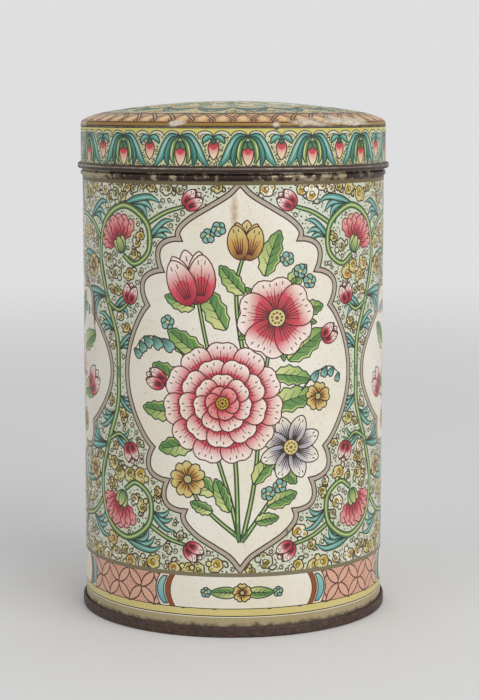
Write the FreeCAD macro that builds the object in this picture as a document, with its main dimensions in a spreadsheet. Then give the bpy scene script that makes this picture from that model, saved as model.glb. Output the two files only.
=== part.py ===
import FreeCAD, Part
import math
import os
import re

import Sketcher

# A round tea caddy of printed tinplate, in millimetres: +Z is up and the origin is the middle of the
# ring that it stands on. Four sheet pieces make it: a rolled body, a base end locked to the body by
# a double seam, and a slip lid of a rolled skirt under a domed top. Each piece is one folded sheet,
# so its section has the same thickness everywhere, through every bend, roll and hook.

FULL_TURN = 360
SIZES_NAME = "Sizes"
PARTS_FOLDER = "parts"

# The driving dimensions: alias, value, what it is
DRIVING_SIZES = (
    ("body_radius", 45.0, "outside of the body wall"),
    ("sheet", 0.3, "tinplate thickness, the same in every piece"),
    ("fold_gap", 0.02, "air left between two folded layers"),
    ("bend", 0.5, "inside radius of a pressed bend"),
    ("end_bend", 0.2, "inside radius of the base end's corners"),
    ("bead_level", 130.8, "height of the middle of the lid-stop bead"),
    ("bead_rise", 0.6, "how far the bead stands out of the wall"),
    ("neck", 10.7, "from the top of the bead to the top of the rim"),
    ("rim_roll", 0.75, "outside radius of the rim that is rolled inwards"),
    ("seam_level", 3.0, "height of the double seam above the table"),
    ("seam_play", 0.2, "free height left above and below the hooks in the double seam"),
    ("base_recess", 3.2, "how far the base plate is sunk above the table"),
    ("panel_radius", 36.0, "middle of the step round the base's centre panel"),
    ("panel_step", 0.9, "rise of that centre panel"),
    ("seam_turn", 48.75, "degrees from the middle of the back round to the body's and the lid's seam"),
    ("side_fold", 4.2, "width of the lock seam that closes the body"),
    ("side_notch", 2.0, "where the lock seam stops short of the base seam and of the bead"),
    ("side_line_width", 0.3, "width of the fine line that the lock seam shows outside"),
    ("side_line_depth", 0.1, "depth of that line"),
    ("lid_play", 0.15, "radial play between the neck and the lid's skirt"),
    ("lid_seat", 0.2, "gap between the bead and the lid's curl when the lid is down"),
    ("lid_headroom", 0.3, "gap between the rim and the flange of the lid's top"),
    ("curl_roll", 0.65, "outside radius of the lid's curled edge"),
    ("curl_flat", 0.5, "straight height between the curl's two bends"),
    ("lap_width", 4.0, "width of the lap that closes the lid's skirt"),
    ("lap_margin", 0.4, "where the lap stops short of the curl and of the skirt's upper edge"),
    ("flange", 1.4, "depth of the flange by which the top is let into the skirt"),
    ("step_bend", 0.05, "inside radius of the sharp step above that flange"),
    ("step_gap", 0.03, "from the upper edge of the skirt to the start of that step"),
    ("top_rim", 0.1, "straight height between that step and the top's corner"),
    ("corner_round", 2.0, "outside radius of the top's corner"),
    ("shoulder_round", 30.0, "outside radius of the top's sloping shoulder"),
    ("dome_round", 230.0, "outside radius of the top's dome"),
    ("dome_edge", 37.0, "where the dome runs over into the shoulder"),
)

# Levels and radii that follow from the driving sizes, as formulas of them
WALL_INSIDE = "(body_radius - sheet)"
LAYER = "(sheet + fold_gap)"


def jog_length(rise, bend="bend"):
    """Formula for the length over which two equal bends shift a sheet sideways by a rise."""
    span = f"(2 * {bend} + sheet)"
    return f"sqrt({span} * {span} - ({span} - {rise}) * ({span} - {rise}))"


BEAD_HALF = jog_length("bead_rise")
BEAD_TOP = f"(bead_level + {BEAD_HALF})"
BEAD_FOOT = f"(bead_level - {BEAD_HALF})"
RIM_TOP = f"({BEAD_TOP} + neck)"
RIM_CENTRE = f"({RIM_TOP} - rim_roll)"

# Layers of the double seam from the inside out: chuck wall, body, cover hook, body hook, seam wall
CHUCK_OUTSIDE = f"({WALL_INSIDE} - fold_gap)"
CHUCK_INSIDE = f"({CHUCK_OUTSIDE} - sheet)"
COVER_INSIDE = "(body_radius + fold_gap)"
COVER_OUTSIDE = f"({COVER_INSIDE} + sheet)"
HOOK_INSIDE = f"({COVER_OUTSIDE} + fold_gap)"
HOOK_OUTSIDE = f"({HOOK_INSIDE} + sheet)"
SEAM_INSIDE = f"({HOOK_OUTSIDE} + fold_gap)"
SEAM_OUTSIDE = f"({SEAM_INSIDE} + sheet)"
HOOK_BEND = f"(({HOOK_INSIDE} - body_radius) / 2)"
HOOK_CENTRE = f"({LAYER} + {HOOK_BEND} + sheet)"
COVER_BEND = f"(({SEAM_INSIDE} - {COVER_OUTSIDE}) / 2)"
COVER_CENTRE = f"(seam_level - {COVER_BEND} - sheet)"

SKIRT_INSIDE = "(body_radius + lid_play)"
SKIRT_OUTSIDE = f"({SKIRT_INSIDE} + sheet)"
CURL_FOOT = f"({BEAD_TOP} + lid_seat)"
CURL_LOW_CENTRE = f"({CURL_FOOT} + curl_roll)"
CURL_HIGH_CENTRE = f"({CURL_LOW_CENTRE} + curl_flat)"
CURL_MIDDLE = f"({SKIRT_INSIDE} + curl_roll)"
CURL_TOP = f"({CURL_HIGH_CENTRE} + curl_roll)"
FLANGE_OUTSIDE = f"({SKIRT_INSIDE} - fold_gap)"
FLANGE_FOOT = f"({RIM_TOP} + lid_headroom)"
STEP_FOOT = f"({FLANGE_FOOT} + flange)"
STEP_TOP = f"({STEP_FOOT} + {jog_length(LAYER, 'step_bend')})"
SKIRT_TOP = f"({STEP_FOOT} - step_gap)"
CORNER_LEVEL = f"({STEP_TOP} + top_rim)"

# The top is three arcs, each tangent to the next: the dome, the shoulder and the corner
DOME_SINE = "(dome_edge / dome_round)"
DOME_COSINE = f"sqrt(1 - {DOME_SINE} * {DOME_SINE})"
SHOULDER_MIDDLE = f"((dome_round - shoulder_round) * {DOME_SINE})"
CORNER_MIDDLE = f"({SKIRT_OUTSIDE} - corner_round)"
SHOULDER_SINE = f"(({CORNER_MIDDLE} - {SHOULDER_MIDDLE}) / (shoulder_round - corner_round))"
SHOULDER_COSINE = f"sqrt(1 - {SHOULDER_SINE} * {SHOULDER_SINE})"
SHOULDER_CENTRE = f"({CORNER_LEVEL} - (shoulder_round - corner_round) * {SHOULDER_COSINE})"
DOME_CENTRE = f"({SHOULDER_CENTRE} - (dome_round - shoulder_round) * {DOME_COSINE})"


def make_sizes(document):
    """Returns the sheet that holds the driving dimensions, one to a row."""
    sheet = document.addObject("Spreadsheet::Sheet", SIZES_NAME)
    for row, (alias, value, meaning) in enumerate(DRIVING_SIZES, start=1):
        sheet.set(f"A{row}", str(value))
        sheet.setAlias(f"A{row}", alias)
        sheet.set(f"B{row}", f"'{meaning}")
    document.recompute()
    return sheet


ALIASES = {alias for alias, _value, _meaning in DRIVING_SIZES}


def bound(formula):
    """Returns a formula with each driving dimension spelled as a cell of the sheet."""

    def spell(match):
        word = match.group(0)
        return f"{SIZES_NAME}.{word}" if word in ALIASES else word

    return re.sub(r"[a-z_]+", spell, formula)


def origin_plane(body, role):
    """Returns one of a body's own origin planes."""
    return next(plane for plane in body.Origin.OriginFeatures if plane.Role == role)


class Section:
    """A closed outline in a sketch, drawn corner by corner and dimensioned from the sketch's origin."""

    def __init__(self, body, name, role):
        self.sketch = body.newObject("Sketcher::SketchObject", name)
        self.sketch.AttachmentSupport = [(origin_plane(body, role), "")]
        self.sketch.MapMode = "FlatFace"
        self.corners = []
        self.edges = []

    def start(self, across, along):
        """Sets the first corner, as two formulas."""
        self.corners.append((across, along))
        return self

    def line(self, across, along):
        """Goes straight to the next corner."""
        self.edges.append(None)
        return self.start(across, along)

    def arc(self, across, along, centre, turn):
        """Goes to the next corner round a centre; turn is 1 for anticlockwise and -1 for clockwise."""
        self.edges.append((centre, turn))
        return self.start(across, along)

    def mirrored_rectangle(self, half_width, low, high):
        """Draws a rectangle that lies evenly about the sketch's upright axis."""
        self.start(f"-{half_width}", low).line(half_width, low)
        return self.line(half_width, high).line(f"-{half_width}", high)

    def value(self, formula):
        """Returns what a formula comes to."""
        return float(self.sketch.evalExpression(bound(formula)))

    def point(self, corner):
        """Returns a corner as a point of the sketch."""
        return FreeCAD.Vector(self.value(corner[0]), self.value(corner[1]), 0)

    def pin(self, kind, geometry, end, formula):
        """Dimensions one coordinate of a point from the origin, or puts the point on the axis."""
        length = self.value(formula)
        if abs(length) < 1e-9:
            axis = -2 if kind == "DistanceX" else -1
            self.sketch.addConstraint(Sketcher.Constraint("PointOnObject", geometry, end, axis))
            return
        place = self.sketch.addConstraint(Sketcher.Constraint(kind, -1, 1, geometry, end, length))
        self.sketch.setExpression(f"Constraints[{place}]", bound(formula))

    def draw(self):
        """Closes the outline, adds its edges and dimensions to the sketch and returns the sketch."""
        if len(self.edges) < len(self.corners):
            self.edges.append(None)
        ends = []
        for number, edge in enumerate(self.edges):
            first = self.point(self.corners[number])
            last = self.point(self.corners[(number + 1) % len(self.corners)])
            if edge is None:
                self.sketch.addGeometry(Part.LineSegment(first, last))
                ends.append((1, 2))
                continue
            centre, turn = self.point(edge[0]), edge[1]
            begin, finish = (first, last) if turn > 0 else (last, first)
            angles = [math.atan2(spot.y - centre.y, spot.x - centre.x) for spot in (begin, finish)]
            circle = Part.Circle(centre, FreeCAD.Vector(0, 0, 1), centre.distanceToPoint(begin))
            self.sketch.addGeometry(Part.ArcOfCircle(circle, *angles))
            ends.append((1, 2) if turn > 0 else (2, 1))
        for number, edge in enumerate(self.edges):
            before = number - 1 if number else len(self.edges) - 1
            self.sketch.addConstraint(
                Sketcher.Constraint("Coincident", before, ends[before][1], number, ends[number][0])
            )
            self.pin("DistanceX", number, ends[number][0], self.corners[number][0])
            self.pin("DistanceY", number, ends[number][0], self.corners[number][1])
            if edge is not None:
                self.pin_centre(number, edge[0])
        return self.sketch

    def pin_centre(self, number, centre):
        """Fixes an arc's centre along the direction that its two ends leave free."""
        first = self.point(self.corners[number])
        last = self.point(self.corners[(number + 1) % len(self.corners)])
        if abs(last.x - first.x) >= abs(last.y - first.y):
            self.pin("DistanceY", number, 3, centre[1])
        else:
            self.pin("DistanceX", number, 3, centre[0])


def jog_point(first, second, reach, bend="bend"):
    """Formulas for the point where a jog's two bends meet, on the face at a reach from the first centre."""
    share = f"({reach} / (2 * {bend} + sheet))"
    return tuple(f"({a} + ({b} - {a}) * {share})" for a, b in zip(first, second))


# How far the tight and the wide face of a pressed bend lie from its centre
TIGHT = "bend"
WIDE = "(bend + sheet)"


# One degree clockwise from above; a turned body takes its axis from this and its angle from the sheet
CLOCKWISE = FreeCAD.Rotation(FreeCAD.Vector(0, 0, -1), 1)


def new_body(document, label):
    """Returns an empty body whose label is its node's name, placed at the origin."""
    body = document.addObject("PartDesign::Body", label)
    body.Label = label
    body.Placement = FreeCAD.Placement()
    return body


def turn_seam(body):
    """Turns a body about the upright axis, so that its seam, drawn at the back, comes to its bearing."""
    body.Placement = FreeCAD.Placement(FreeCAD.Vector(), CLOCKWISE)
    body.setExpression("Placement.Rotation.Angle", bound("seam_turn"))


def spin(body, section, name):
    """Revolves a finished section about the upright axis."""
    turned = body.newObject("PartDesign::Revolution", name)
    turned.Profile = section.draw()
    turned.ReferenceAxis = (turned.Profile[0], ["V_Axis"])
    turned.Angle = FULL_TURN
    return turned


def raise_along(body, section, name, kind, foot, top):
    """Pads or pockets a plan section from one level up to another, along the wall."""
    sketch = section.draw()
    sketch.setExpression("AttachmentOffset.Base.z", bound(foot))
    feature = body.newObject(kind, name)
    feature.Profile = sketch
    feature.Reversed = kind == "PartDesign::Pocket"
    feature.setExpression("Length", bound(f"{top} - {foot}"))
    return feature


def make_body_wall(document):
    """The rolled body: rim rolled inwards, bead that stops the lid, side lock seam and seam hook."""
    body = new_body(document, "body_wall")
    turn_seam(body)
    roll_middle = "(body_radius - rim_roll)"
    upper_bend = ("(body_radius + bend)", BEAD_TOP)
    crest_bend = ("(body_radius + bead_rise - bend - sheet)", "bead_level")
    lower_bend = ("(body_radius + bend)", BEAD_FOOT)
    hook_middle = f"(body_radius + {HOOK_BEND})"
    hook_top = f"({COVER_CENTRE} + {COVER_BEND} - seam_play)"

    section = Section(body, "body_section", "XZ_Plane")
    # Outer face, from the end of the rolled rim down to the hook in the base seam
    section.start(roll_middle, f"({RIM_CENTRE} - rim_roll)")
    section.arc("body_radius", RIM_CENTRE, (roll_middle, RIM_CENTRE), -1)
    section.line("body_radius", BEAD_TOP)
    section.arc(*jog_point(upper_bend, crest_bend, TIGHT), upper_bend, 1)
    section.arc(*jog_point(lower_bend, crest_bend, TIGHT), crest_bend, -1)
    section.arc("body_radius", BEAD_FOOT, lower_bend, 1)
    section.line("body_radius", HOOK_CENTRE)
    section.arc(HOOK_INSIDE, HOOK_CENTRE, (hook_middle, HOOK_CENTRE), 1)
    section.line(HOOK_INSIDE, hook_top)
    # Inner face, back up to the rim
    section.line(HOOK_OUTSIDE, hook_top)
    section.line(HOOK_OUTSIDE, HOOK_CENTRE)
    section.arc(WALL_INSIDE, HOOK_CENTRE, (hook_middle, HOOK_CENTRE), -1)
    section.line(WALL_INSIDE, BEAD_FOOT)
    section.arc(*jog_point(lower_bend, crest_bend, WIDE), lower_bend, -1)
    section.arc(*jog_point(upper_bend, crest_bend, WIDE), crest_bend, 1)
    section.arc(WALL_INSIDE, BEAD_TOP, upper_bend, -1)
    section.line(WALL_INSIDE, RIM_CENTRE)
    section.arc(roll_middle, f"({RIM_CENTRE} - rim_roll + sheet)", (roll_middle, RIM_CENTRE), 1)
    spin(body, section, "rolled_sheet")

    # The lock seam: two more layers folded flat against the inside of the wall
    seam_foot = "(seam_level + side_notch)"
    seam_top = f"({BEAD_FOOT} - side_notch)"
    fold_face = f"({WALL_INSIDE} - 2 * {LAYER})"
    strip = Section(body, "side_fold_plan", "XY_Plane")
    strip.mirrored_rectangle("(side_fold / 2)", fold_face, "(body_radius - sheet / 2)")
    raise_along(body, strip, "side_lock_seam", "PartDesign::Pad", seam_foot, seam_top)

    # Its fold shows outside as one fine upright line
    line = Section(body, "side_line_plan", "XY_Plane")
    line.mirrored_rectangle(
        "(side_line_width / 2)", "(body_radius - side_line_depth)", "(body_radius + sheet)"
    )
    raise_along(body, line, "side_seam_line", "PartDesign::Pocket", seam_foot, seam_top)
    return body


def make_base_end(document):
    """The stamped base: stepped centre panel, chuck wall, and the seam that wraps the body's hook."""
    body = new_body(document, "base_end")
    plate_top = "(base_recess + sheet)"
    panel_under = "(base_recess + panel_step)"
    half_step = f"({jog_length('panel_step')} / 2)"
    rise_bend = (f"(panel_radius + {half_step})", f"({plate_top} + bend)")
    level_bend = (f"(panel_radius - {half_step})", f"({panel_under} - bend)")
    plate_bend = (f"({CHUCK_INSIDE} - bend)", "(base_recess - bend)")
    foot_round = "(end_bend + sheet)"
    inner_foot = (f"({CHUCK_INSIDE} + {foot_round})", foot_round)
    outer_foot = (f"({SEAM_OUTSIDE} - {foot_round})", foot_round)
    cover_middle = f"({COVER_OUTSIDE} + {COVER_BEND})"
    cover_foot = f"({HOOK_CENTRE} - {HOOK_BEND} + seam_play)"

    section = Section(body, "base_section", "XZ_Plane")
    # Under side, from the middle of the panel out to the end of the cover hook
    section.start("0", panel_under)
    section.line(level_bend[0], panel_under)
    section.arc(*jog_point(rise_bend, level_bend, WIDE), level_bend, -1)
    section.arc(rise_bend[0], "base_recess", rise_bend, 1)
    section.line(plate_bend[0], "base_recess")
    section.arc(CHUCK_INSIDE, plate_bend[1], plate_bend, -1)
    section.line(CHUCK_INSIDE, foot_round)
    section.arc(inner_foot[0], "0", inner_foot, 1)
    section.line(outer_foot[0], "0")
    section.arc(SEAM_OUTSIDE, foot_round, outer_foot, 1)
    section.line(SEAM_OUTSIDE, COVER_CENTRE)
    section.arc(COVER_INSIDE, COVER_CENTRE, (cover_middle, COVER_CENTRE), 1)
    section.line(COVER_INSIDE, cover_foot)
    # Upper side, back to the middle
    section.line(COVER_OUTSIDE, cover_foot)
    section.line(COVER_OUTSIDE, COVER_CENTRE)
    section.arc(SEAM_INSIDE, COVER_CENTRE, (cover_middle, COVER_CENTRE), -1)
    section.line(SEAM_INSIDE, foot_round)
    section.arc(outer_foot[0], "sheet", outer_foot, -1)
    section.line(inner_foot[0], "sheet")
    section.arc(CHUCK_OUTSIDE, foot_round, inner_foot, -1)
    section.line(CHUCK_OUTSIDE, plate_bend[1])
    section.arc(plate_bend[0], plate_top, plate_bend, 1)
    section.line(rise_bend[0], plate_top)
    section.arc(*jog_point(rise_bend, level_bend, TIGHT), rise_bend, -1)
    section.arc(level_bend[0], f"({panel_under} + sheet)", level_bend, 1)
    section.line("0", f"({panel_under} + sheet)")
    spin(body, section, "stamped_end")
    return body


def make_lid_skirt(document):
    """The lid's band: its lower edge curled outwards, and the lap that closes it."""
    body = new_body(document, "lid_skirt")
    turn_seam(body)
    curl_outside = f"({CURL_MIDDLE} + curl_roll)"
    curl_end = f"({SKIRT_OUTSIDE} + fold_gap)"

    section = Section(body, "skirt_section", "XZ_Plane")
    # Inner face, from the upper edge down and round the outside of the curl
    section.start(SKIRT_INSIDE, SKIRT_TOP)
    section.line(SKIRT_INSIDE, CURL_LOW_CENTRE)
    section.arc(curl_outside, CURL_LOW_CENTRE, (CURL_MIDDLE, CURL_LOW_CENTRE), 1)
    section.line(curl_outside, CURL_HIGH_CENTRE)
    section.arc(CURL_MIDDLE, CURL_TOP, (CURL_MIDDLE, CURL_HIGH_CENTRE), 1)
    section.line(curl_end, CURL_TOP)
    # Outer face, back through the hollow of the curl and up
    section.line(curl_end, f"({CURL_TOP} - sheet)")
    section.line(CURL_MIDDLE, f"({CURL_TOP} - sheet)")
    section.arc(f"({curl_outside} - sheet)", CURL_HIGH_CENTRE, (CURL_MIDDLE, CURL_HIGH_CENTRE), -1)
    section.line(f"({curl_outside} - sheet)", CURL_LOW_CENTRE)
    section.arc(SKIRT_OUTSIDE, CURL_LOW_CENTRE, (CURL_MIDDLE, CURL_LOW_CENTRE), -1)
    section.line(SKIRT_OUTSIDE, SKIRT_TOP)
    spin(body, section, "rolled_band")

    # The band's two ends lap, and the outer end stands one layer proud
    lap_inside = f"({SKIRT_OUTSIDE} - sheet / 2)"
    lap_outside = f"({SKIRT_OUTSIDE} + sheet)"
    lap_foot = f"({CURL_TOP} + lap_margin)"
    lap_top = f"({SKIRT_TOP} - lap_margin)"
    lap = Section(body, "lap_plan", "XY_Plane")
    lap.mirrored_rectangle("(lap_width / 2)", lap_inside, lap_outside)
    raise_along(body, lap, "skirt_lap", "PartDesign::Pad", lap_foot, lap_top)
    return body


def make_lid_top(document):
    """The stamped top: a shallow dome, a sloping shoulder, a round corner and a flange in the skirt."""
    body = new_body(document, "lid_top")
    dome = ("0", DOME_CENTRE)
    shoulder = (SHOULDER_MIDDLE, SHOULDER_CENTRE)
    corner = (CORNER_MIDDLE, CORNER_LEVEL)
    wide_step = "(step_bend + sheet)"
    high_bend = (f"({SKIRT_OUTSIDE} - {wide_step})", STEP_TOP)
    low_bend = (f"({FLANGE_OUTSIDE} + step_bend)", STEP_FOOT)

    def face(inset):
        """Corners of one face of the sheet, from the apex out to the step, set in by a formula."""
        dome_reach = f"(dome_round - {inset})"
        shoulder_reach = f"(shoulder_round - {inset})"
        return (
            ("0", f"({DOME_CENTRE} + {dome_reach})"),
            (f"({dome_reach} * {DOME_SINE})", f"({DOME_CENTRE} + {dome_reach} * {DOME_COSINE})"),
            (
                f"({SHOULDER_MIDDLE} + {shoulder_reach} * {SHOULDER_SINE})",
                f"({SHOULDER_CENTRE} + {shoulder_reach} * {SHOULDER_COSINE})",
            ),
            (f"({SKIRT_OUTSIDE} - {inset})", CORNER_LEVEL),
            (f"({SKIRT_OUTSIDE} - {inset})", STEP_TOP),
        )

    outer = face("0")
    inner = face("sheet")
    section = Section(body, "top_section", "XZ_Plane")
    section.start(*outer[0])
    for place, centre in zip(outer[1:4], (dome, shoulder, corner)):
        section.arc(*place, centre, -1)
    section.line(*outer[4])
    # Down the step and the flange, and back up inside them
    section.arc(*jog_point(high_bend, low_bend, wide_step, "step_bend"), high_bend, -1)
    section.arc(FLANGE_OUTSIDE, STEP_FOOT, low_bend, 1)
    section.line(FLANGE_OUTSIDE, FLANGE_FOOT)
    section.line(f"({FLANGE_OUTSIDE} - sheet)", FLANGE_FOOT)
    section.line(f"({FLANGE_OUTSIDE} - sheet)", STEP_FOOT)
    section.arc(*jog_point(high_bend, low_bend, "step_bend", "step_bend"), low_bend, -1)
    section.arc(*inner[4], high_bend, 1)
    section.line(*inner[3])
    for place, centre in zip(reversed(inner[:3]), (corner, shoulder, dome)):
        section.arc(*place, centre, 1)
    spin(body, section, "stamped_top")
    return body


def check(document, bodies):
    """Stops if any object failed to build or a piece isn't one sound solid."""
    failed = [item.Name for item in document.Objects if {"Invalid", "Error"} & set(item.State)]
    if failed:
        raise RuntimeError(f"these objects failed: {failed}")
    for body in bodies:
        shape = body.Shape
        if shape.isNull() or not shape.isValid() or len(shape.Solids) != 1:
            raise RuntimeError(f"{body.Label} isn't one sound solid")


def write(bodies):
    """Writes each piece to its own file and prints what it measures."""
    os.makedirs(PARTS_FOLDER, exist_ok=True)
    for body in bodies:
        body.Shape.exportStep(f"{PARTS_FOLDER}/{body.Label}.step")
        box = body.Shape.optimalBoundingBox()
        print(
            f"{body.Label}: {body.Shape.Volume:.1f} mm3,"
            f" radius {box.XMax:.2f}, from {box.ZMin:.3f} to {box.ZMax:.3f}"
        )


def main():
    """Builds the caddy and writes its pieces."""
    document = FreeCAD.newDocument("tea_caddy")
    make_sizes(document)
    makers = (make_body_wall, make_base_end, make_lid_skirt, make_lid_top)
    bodies = [make(document) for make in makers]
    document.recompute()
    check(document, bodies)
    write(bodies)


main()
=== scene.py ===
import logging
import math
from dataclasses import dataclass
from enum import Enum
from typing import Iterator, Optional, Sequence, Union

import bpy
import numpy as np
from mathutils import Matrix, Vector
from mathutils.geometry import delaunay_2d_cdt


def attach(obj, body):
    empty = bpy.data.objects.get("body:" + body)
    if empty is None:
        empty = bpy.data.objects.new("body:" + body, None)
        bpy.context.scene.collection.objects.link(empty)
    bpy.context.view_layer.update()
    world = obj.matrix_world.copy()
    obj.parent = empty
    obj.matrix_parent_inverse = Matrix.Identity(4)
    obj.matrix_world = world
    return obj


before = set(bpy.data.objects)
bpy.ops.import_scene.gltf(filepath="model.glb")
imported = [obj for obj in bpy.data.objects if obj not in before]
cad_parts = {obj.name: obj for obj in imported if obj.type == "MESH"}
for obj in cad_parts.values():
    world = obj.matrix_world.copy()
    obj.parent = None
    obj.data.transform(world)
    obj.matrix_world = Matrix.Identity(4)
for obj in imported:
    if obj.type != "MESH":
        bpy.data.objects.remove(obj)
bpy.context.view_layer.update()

# A round tea caddy of printed tinplate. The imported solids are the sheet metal, and they keep their
# shapes. What is added here is the print: each printed sheet is drawn flat in millimetres, as a
# lithographer draws it, area by area and line by line, and is then laid on its metal as a thin skin.

LOG = logging.getLogger("tea_caddy")
MM = 0.001
TINY = 1e-9
Point = tuple[float, float]


def linear(colour: str) -> tuple[float, float, float, float]:
    """Turns an sRGB hex colour to linear light.

    Args:
        colour: the colour as #RRGGBB.

    Returns:
        Red, green, blue and an alpha of 1.
    """
    shares = [int(colour[place:place + 2], 16) / 255 for place in (1, 3, 5)]
    red, green, blue = (s / 12.92 if s <= 0.04045 else ((s + 0.055) / 1.055) ** 2.4 for s in shares)
    return red, green, blue, 1.0


class Ink(Enum):
    """The inks of the printed sheets, as they look today under their yellowed varnish."""

    KEY = "#392E25"
    SEPIA = "#46371E"
    RED_KEY = "#57262A"
    GREEN_KEY = "#2B3D31"
    CREAM = "#E6E2D6"
    PAPER = "#CFD4C1"
    IVORY = "#DAD4B0"
    WHITE = "#EAE5DA"
    STRAW = "#D4CB92"
    OCHRE = "#B99C3A"
    OLIVE = "#8A7E38"
    YELLOW = "#D3C684"
    KHAKI = "#A99C7A"
    DRAB = "#7C745C"
    GOLD = "#685D40"
    BRONZE = "#977B42"
    TAUPE = "#B2A698"
    TEAL = "#4F938A"
    SKY = "#93C1BB"
    AZURE = "#69A8B3"
    DEEP_TEAL = "#32685F"
    VINE = "#638A52"
    LEAF = "#74A056"
    PALE_LEAF = "#CBD18C"
    DARK_LEAF = "#527B49"
    ROSE = "#D0505E"
    CRIMSON = "#A02A3B"
    PINK = "#E39C9A"
    BLUSH = "#EFE2DA"
    AMBER = "#C4954C"
    BROWN = "#80592E"
    UMBER = "#54382A"
    SLATE = "#837F8C"
    LILAC = "#B4AFB8"
    RUST = "#8E4C25"
    SALMON = "#D9AA95"
    CORAL = "#B27464"
    PEACH = "#D2A379"
    PALE_PEACH = "#E0C290"
    LID_MINT = "#C8CAA2"
    LID_GREEN = "#CFC771"
    SAGE = "#C8BF92"
    BUFF = "#E7D8BA"

    @property
    def light(self) -> np.ndarray:
        """The ink in linear light."""
        return np.array(linear(self.value))


def curve(points: Sequence[Point], closed: bool = False, steps: int = 6) -> np.ndarray:
    """Draws a smooth line through points.

    Args:
        points: the points that the line goes through.
        closed: whether it comes back to the first point.
        steps: divisions of each stretch between two points.

    Returns:
        The line's points, one to a row.
    """
    spots = np.asarray(points, float)
    if closed:
        guide = np.vstack([spots[-1:], spots, spots[:2]])
    else:
        guide = np.vstack([2 * spots[:1] - spots[1:2], spots, 2 * spots[-1:] - spots[-2:-1]])
    t = np.linspace(0, 1, steps, endpoint=False)[:, None]
    runs = []
    for a, b, c, d in zip(guide, guide[1:], guide[2:], guide[3:]):
        bends = (2 * a - 5 * b + 4 * c - d) * t**2 + (3 * b - a - 3 * c + d) * t**3
        runs.append((2 * b + (c - a) * t + bends) / 2)
    if not closed:
        runs.append(spots[-1:])
    return np.vstack(runs)


def lobe(first: Point, last: Point, bulge: float, steps: int = 10) -> np.ndarray:
    """Draws a round lobe from one cusp towards the next, without its last point.

    Args:
        first: the cusp where it starts.
        last: the cusp where it ends.
        bulge: how far it stands out to the left of the way, as a share of the chord.
        steps: divisions of the lobe.

    Returns:
        The lobe's points.
    """
    start, end = np.asarray(first, float), np.asarray(last, float)
    chord = end - start
    out = np.array([-chord[1], chord[0]])
    t = np.linspace(0, 1, steps, endpoint=False)[:, None]
    swell = np.sin(math.pi * t) ** 0.8
    return start + chord * t + out * bulge * swell


def ribbon(path: np.ndarray, widths: Sequence[float]) -> np.ndarray:
    """Outlines a stroke.

    Args:
        path: the stroke's middle line.
        widths: its widths, evenly spread from its start to its end.

    Returns:
        The outline of the stroke.
    """
    path = np.asarray(path, float)
    along = np.gradient(path, axis=0)
    along /= np.maximum(np.linalg.norm(along, axis=1, keepdims=True), TINY)
    across = np.column_stack([-along[:, 1], along[:, 0]])
    places = np.linspace(0, 1, len(path))
    half = np.interp(places, np.linspace(0, 1, len(widths)), widths)[:, None] / 2
    return np.vstack([path - across * half, (path + across * half)[::-1]])


def grown(outline: np.ndarray, by: float) -> np.ndarray:
    """Moves an outline outwards, or inwards if the distance is negative.

    Args:
        outline: a closed outline.
        by: the distance.

    Returns:
        The moved outline, with as many points.
    """
    after = np.roll(outline, -1, axis=0) - outline
    after /= np.maximum(np.linalg.norm(after, axis=1, keepdims=True), TINY)
    normal = np.column_stack([after[:, 1], -after[:, 0]])
    before = np.roll(normal, 1, axis=0)
    middle = normal + before
    middle /= np.maximum(np.linalg.norm(middle, axis=1, keepdims=True), TINY)
    reach = 1 / np.maximum((middle * normal).sum(axis=1, keepdims=True), 0.5)
    x, y = outline.T
    turns_left = (x * np.roll(y, -1) - np.roll(x, -1) * y).sum() > 0
    return outline + middle * reach * (by if turns_left else -by)


def disc(radius: float, sides: int = 12, centre: Point = (0, 0)) -> np.ndarray:
    """Returns the outline of a round spot."""
    angle = np.linspace(0, 2 * math.pi, sides, endpoint=False)
    return np.column_stack([np.cos(angle), np.sin(angle)]) * radius + centre


def corners(low: Point, high: Point) -> np.ndarray:
    """Returns the outline of a rectangle from its low and its high corner."""
    return np.array([low, (high[0], low[1]), high, (low[0], high[1])])


def petal(
    length: float, width: float, belly: float = 0.25, sharp: float = 0.0, notch: float = 0.0,
    teeth: float = 0.0, points: int = 11,
) -> np.ndarray:
    """Outlines a petal or a leaf that grows up from its foot at the origin.

    Args:
        length: from the foot to the tip.
        width: at the widest place.
        belly: above 0, it is widest near the tip, and below 0 near the foot.
        sharp: how pointed both ends are.
        notch: depth of a dent in the tip, as a share of the length.
        teeth: depth of teeth along both sides, as a share of the width.
        points: points along one side.

    Returns:
        The outline, anticlockwise.
    """
    swing = np.linspace(0, math.pi, points)
    across = np.sin(swing) ** (1 + sharp) * (1 - belly * np.cos(swing))
    across *= width / 2 / across.max()
    along = length * (1 - np.cos(swing)) / 2
    along -= notch * length * np.exp(-((across / (0.16 * width)) ** 2)) * (swing > math.pi / 2)
    across[1:-1] *= 1 + teeth * np.where(np.arange(points - 2) % 2, -1, 1)
    side = np.column_stack([across, along])
    return np.vstack([side, side[-2:0:-1] * (-1, 1)])


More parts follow.
